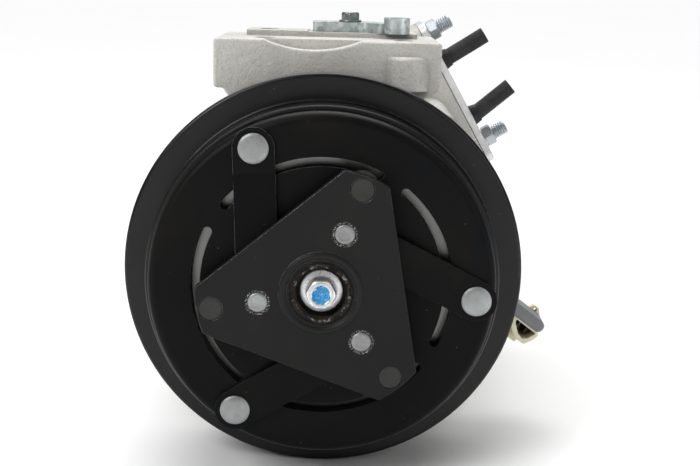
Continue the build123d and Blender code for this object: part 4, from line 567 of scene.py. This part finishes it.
def make_outer_rivets():
    solids = []
    for low, high in clusters("outer_rivets"):
        centre = (low + high) / 2
        front, back, radius = -low.y, -high.y, (high.x - low.x) / 2
        shank = 0.0026
        rings = [
            Ring(front, CENTRE),
            Ring(front - 0.00004, 0.0015),
            Ring(front - 0.00014, 0.0030),
            Ring(front - 0.00032, 0.0039),
            Ring(front - 0.00065, radius - 0.0001),
            Ring(front - 0.0009, radius),
            Ring(front - 0.0012, radius - 0.0001),
            Ring(front - 0.0012, shank),
            Ring(back, shank),
            Ring(back, CENTRE),
        ]
        solids.append((Vector((centre.x, 0, centre.z)), FRONT, UP, rounded(rings, 0.0004)))
    return lathe("strap_rivets_outer", solids)


def make_inner_rivets():
    plate_back = -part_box("drive_plate")[1].y
    solids = []
    for low, high in clusters("inner_rivets"):
        centre = (low + high) / 2
        front, back, wide = -low.y, -high.y, (high.x - low.x) / 2
        shank, strap_back = 0.00295, back + 0.0013
        rings = [
            Ring(front - 0.00012, CENTRE),
            Ring(front - 0.00010, 0.0014),
            Ring(front - 0.00002, 0.0019),
            Ring(front, 0.0023),
            Ring(front - 0.00008, 0.0026),
            Ring(front - 0.0003, shank),
            Ring(plate_back, shank),
            Ring(strap_back, shank),
            Ring(strap_back, wide),
            Ring(back, wide),
            Ring(back, CENTRE),
        ]
        solids.append((Vector((centre.x, 0, centre.z)), FRONT, UP, rounded(rings, 0.00025)))
    return lathe("strap_rivets_inner", solids)


def make_stoppers():
    plate_back = -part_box("drive_plate")[1].y
    solids = []
    for low, high in clusters("rubber_stoppers"):
        centre = (low + high) / 2
        front, back, wide = -low.y, -high.y, (high.x - low.x) / 2
        post = 0.00359
        rings = [
            Ring(front - 0.00005, CENTRE),
            Ring(front, 0.0028),
            Ring(front - 0.0001, 0.0034),
            Ring(front - 0.00025, post),
            Ring(plate_back, post),
            Ring(plate_back, wide),
            Ring(back, wide),
            Ring(back, CENTRE),
        ]
        solids.append((Vector((centre.x, 0, centre.z)), FRONT, UP, rounded(rings, 0.0002)))
    return lathe("stopper_pads", solids)


def make_port_studs():
    """Each stud from its threaded tip through the hexagon to the end in the casing."""
    solids = []
    for name in ("port_stud_upper", "port_stud_lower"):
        mount = MOUNTS[name]
        half = mount["dims"]["length_mm"] / 2000
        axis = Vector(mount["axis"]).normalized()
        hex_top, hex_foot, end = -half, -half - 0.0042, -half - 0.0192
        rings = [Ring(half, CENTRE), Ring(half, 0.0023)]
        rings += threaded(half - 0.0005, hex_top + 0.0003)
        rings += rounded([
            Ring(hex_top, 0.0028),
            Ring(hex_top, 0.0038, 0.0040),
            Ring(hex_top - 0.0005, 0.00462, 0.0040),
            Ring(hex_foot + 0.0004, 0.00462, 0.0040),
            Ring(hex_foot, 0.0040, 0.0040),
            Ring(hex_foot, M6),
            Ring(end, M6),
            Ring(end, CENTRE),
        ], 0.00025)
        along = Vector((0, 1, 0)).cross(axis)
        solids.append((Vector(mount["pos_m"]), axis, along, rings))
    return lathe("threaded_studs", solids)


def make_bracket_bolts():
    """The bracket's screw stands on the block; the clip's screw faces the pulley."""
    solids = []
    for low, high in clusters("bracket_bolts", reach=0.024):
        centre = (low + high) / 2
        upright = high.z - low.z > high.y - low.y
        axis, across = (UP, Vector((1, 0, 0))) if upright else (FRONT, UP)
        top, end = (high.z, low.z) if upright else (-low.y, -high.y)
        origin = Vector((centre.x, centre.y, 0)) if upright else Vector((centre.x, 0, centre.z))
        foot = top - 0.0034
        rings = rounded([
            Ring(top - 0.0002, CENTRE),
            Ring(top - 0.0002, 0.0020),
            Ring(top, 0.0024),
            Ring(top, 0.0028),
            Ring(top - 0.0006, 0.0033, 0.0031),
            Ring(top - 0.0012, 0.0036, 0.0031),
            Ring(foot + 0.0008, 0.0036, 0.0031),
            Ring(foot + 0.0006, 0.0040),
            Ring(foot, 0.0040),
            Ring(foot, M6),
        ], 0.0002)
        rings += threaded(foot - 0.0004, end + 0.0006)
        rings += [Ring(end, 0.0022), Ring(end, CENTRE)]
        solids.append((origin, axis, across, rings))
    return lathe("bracket_screws", solids)


PULLEY_TONES = ((0.0018, 0.0018, 0.0019), (0.0030, 0.0031, 0.0034), (0.0042, 0.0040, 0.0034))
HUB_TONES = ((0.0036, 0.0035, 0.0034), (0.0034, 0.0038, 0.0047), (0.0058, 0.0054, 0.0042))
PLATE_TONES = ((0.0070, 0.0069, 0.0067), (0.0085, 0.0086, 0.0086), (0.0105, 0.0100, 0.0088))

SLOT_MATERIALS = {
    "cast_aluminium": cast_aluminium("cast_aluminium"),
    "machined_aluminium": steel("machined_aluminium", (0.62, 0.62, 0.63), 0.30, (300, 300, 2400)),
    "pulley_black": coated_black("pulley_black", 0.30, 0.30, PULLEY_TONES, bare=friction_face),
    "hub_black": coated_black("hub_black", 0.42, 0.08, HUB_TONES, chipping_and_highlight=0.7),
    "zinc_steel": zinc("zinc_steel"),
    "bright_steel": steel("bright_steel"),
    "bearing_steel": steel("bearing_steel", (0.62, 0.62, 0.64), 0.14),
    "spring_steel": steel("spring_steel", (0.16, 0.165, 0.19), 0.34),
    "copper": copper_wire("copper_wire"),
    "tinned_brass": steel("tinned_brass", (0.09, 0.078, 0.055), 0.45),
    "black_rubber": rubber("black_rubber"),
    "gasket": rubber("gasket", (0.03, 0.03, 0.033), 0.55),
    "cream_plastic": plastic("cream_plastic", (0.94, 0.88, 0.66), (0.88, 0.80, 0.52), shade_reach=0.004),
    "grey_plastic": plastic("grey_plastic", (0.24, 0.245, 0.255), (0.20, 0.205, 0.215), 0.5),
    "seal_plastic": plastic("seal_plastic", (0.05, 0.035, 0.025), (0.035, 0.025, 0.02)),
    "lead_sleeve": plastic("lead_sleeve", (0.012, 0.012, 0.012), (0.02, 0.02, 0.02), 0.5),
    "cage_plastic": plastic("cage_plastic", (0.55, 0.45, 0.24), (0.45, 0.36, 0.18)),
}
NODE_MATERIALS = {
    "front_housing": cast_aluminium("front_casting", shell_turned),
    "fixed_scroll": cast_aluminium("middle_casting", shell_turned),
    "drive_plate": coated_black("plate_black", 0.42, 0.17, PLATE_TONES, chipping_and_highlight=1.0, marks=rivet_marks),
    "hub_boss": hub_metal("hub_boss"),
    "top_bracket": zinc("bracket_zinc", (0.70, 0.76, 0.75), 0.36, 900, 0.3, crystals=0.8, metal=0.85),
    "port_cover": zinc("cover_zinc", (0.80, 0.80, 0.79), 0.40, 700, 0.3, metal=0.6),
    "hub_bolt": bolt_zinc("hub_bolt_zinc"),
    "outer_rivets": zinc("rivet_zinc", (0.29, 0.295, 0.292), 0.40, 1400, metal=0.7),
    "inner_rivets": zinc("small_rivet_zinc", (0.27, 0.27, 0.268), 0.38, 1400, metal=0.7),
    "rubber_stoppers": rubber("stopper_rubber", (0.024, 0.024, 0.020), 0.75),
    "bracket_bolts": zinc("dark_zinc", (0.20, 0.225, 0.22), 0.30, 1200),
    "port_studs": zinc("stud_zinc", (0.50, 0.54, 0.57), 0.40, 1400, metal=0.75),
}
TURNED_PIECES = (
    (make_hub_bolt, "hub_bolt", "shaft_body"),
    (make_outer_rivets, "outer_rivets", "armature_body"),
    (make_inner_rivets, "inner_rivets", "shaft_body"),
    (make_stoppers, "rubber_stoppers", "shaft_body"),
    (make_bracket_bolts, "bracket_bolts", "casing"),
    (make_port_studs, "port_studs", "casing"),
)


def dress(piece, material):
    piece.data.materials.clear()
    piece.data.materials.append(material)


def look_of(node_name):
    return NODE_MATERIALS.get(node_name, SLOT_MATERIALS[SLOT_OF[node_name]])


for node_name in SLOT_OF:
    dress(NODES[node_name], look_of(node_name))
for make, node_name, body_name in TURNED_PIECES:
    piece = make()
    dress(piece, look_of(node_name))
    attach(piece, body_name)
    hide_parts(node_name)


# ---- floor, lights and camera ----
def floor():
    bpy.ops.mesh.primitive_plane_add(size=80, location=(0, 0, cad_box[0].z - 0.0002))
    ground = bpy.context.object
    ground.name = "floor"
    s = Surface("pale_floor", (0.94, 0.94, 0.94), 0.6, specular=0.2)
    s.tint((0.96, 0.96, 0.96), s.noise(3, 2))
    dress(ground, s.mat)


def lamp(name, kind, place, aim, energy, **shape):
    light = bpy.data.lights.new(name, kind)
    light.energy = energy
    for key, value in shape.items():
        setattr(light, key, value)
    made = bpy.data.objects.new(name, light)
    made.location = place
    made.rotation_mode = "QUATERNION"
    made.rotation_quaternion = (Vector(aim) - Vector(place)).to_track_quat("-Z", "Y")
    bpy.context.scene.collection.objects.link(made)


def camera():
    """Looks along the shaft at the pulley, a little from above and turned slightly about the shaft."""
    place, looking_down, turned = (0.00617, -0.390, 0.09219), 11.91, -1.45
    lens = bpy.data.cameras.new("camera")
    lens.sensor_width = 36
    lens.lens = 63.26
    lens.clip_start = 0.02
    lens.clip_end = 200
    eye = bpy.data.objects.new("camera", lens)
    level = Matrix.Rotation(radians(90 - looking_down), 4, "X")
    roll = Matrix.Rotation(radians(turned), 4, "Y")
    eye.matrix_world = Matrix.Translation(place) @ roll @ level
    bpy.context.scene.collection.objects.link(eye)
    bpy.context.scene.camera = eye


def studio():
    """A white world to look at that lights only softly, a wide soft top light and two softboxes."""
    scene = bpy.context.scene
    scene.view_settings.view_transform = "Standard"
    world = bpy.data.worlds.new("studio")
    world.use_nodes = True
    nodes, links = world.node_tree.nodes, world.node_tree.links
    path = nodes.new("ShaderNodeLightPath")
    level = nodes.new("ShaderNodeMapRange")
    level.inputs["To Min"].default_value = 0.22
    level.inputs["To Max"].default_value = 1.0
    links.new(path.outputs["Is Camera Ray"], level.inputs["Value"])
    links.new(level.outputs[0], nodes["Background"].inputs["Strength"])
    nodes["Background"].inputs["Color"].default_value = (1, 1, 1, 1)
    scene.world = world
    lamp("top", "SUN", (0, 0.5, 1), (0, 0, 0), 2.9, angle=radians(60))
    lamp("key", "AREA", (-0.7, -0.65, 0.75), (0, 0, 0.02), 9, shape="RECTANGLE", size=0.6, size_y=0.6)
    lamp("fill", "AREA", (0.8, -0.5, 0.35), (0, 0, 0), 1.6, shape="RECTANGLE", size=0.5, size_y=0.7)


floor()
camera()
studio()
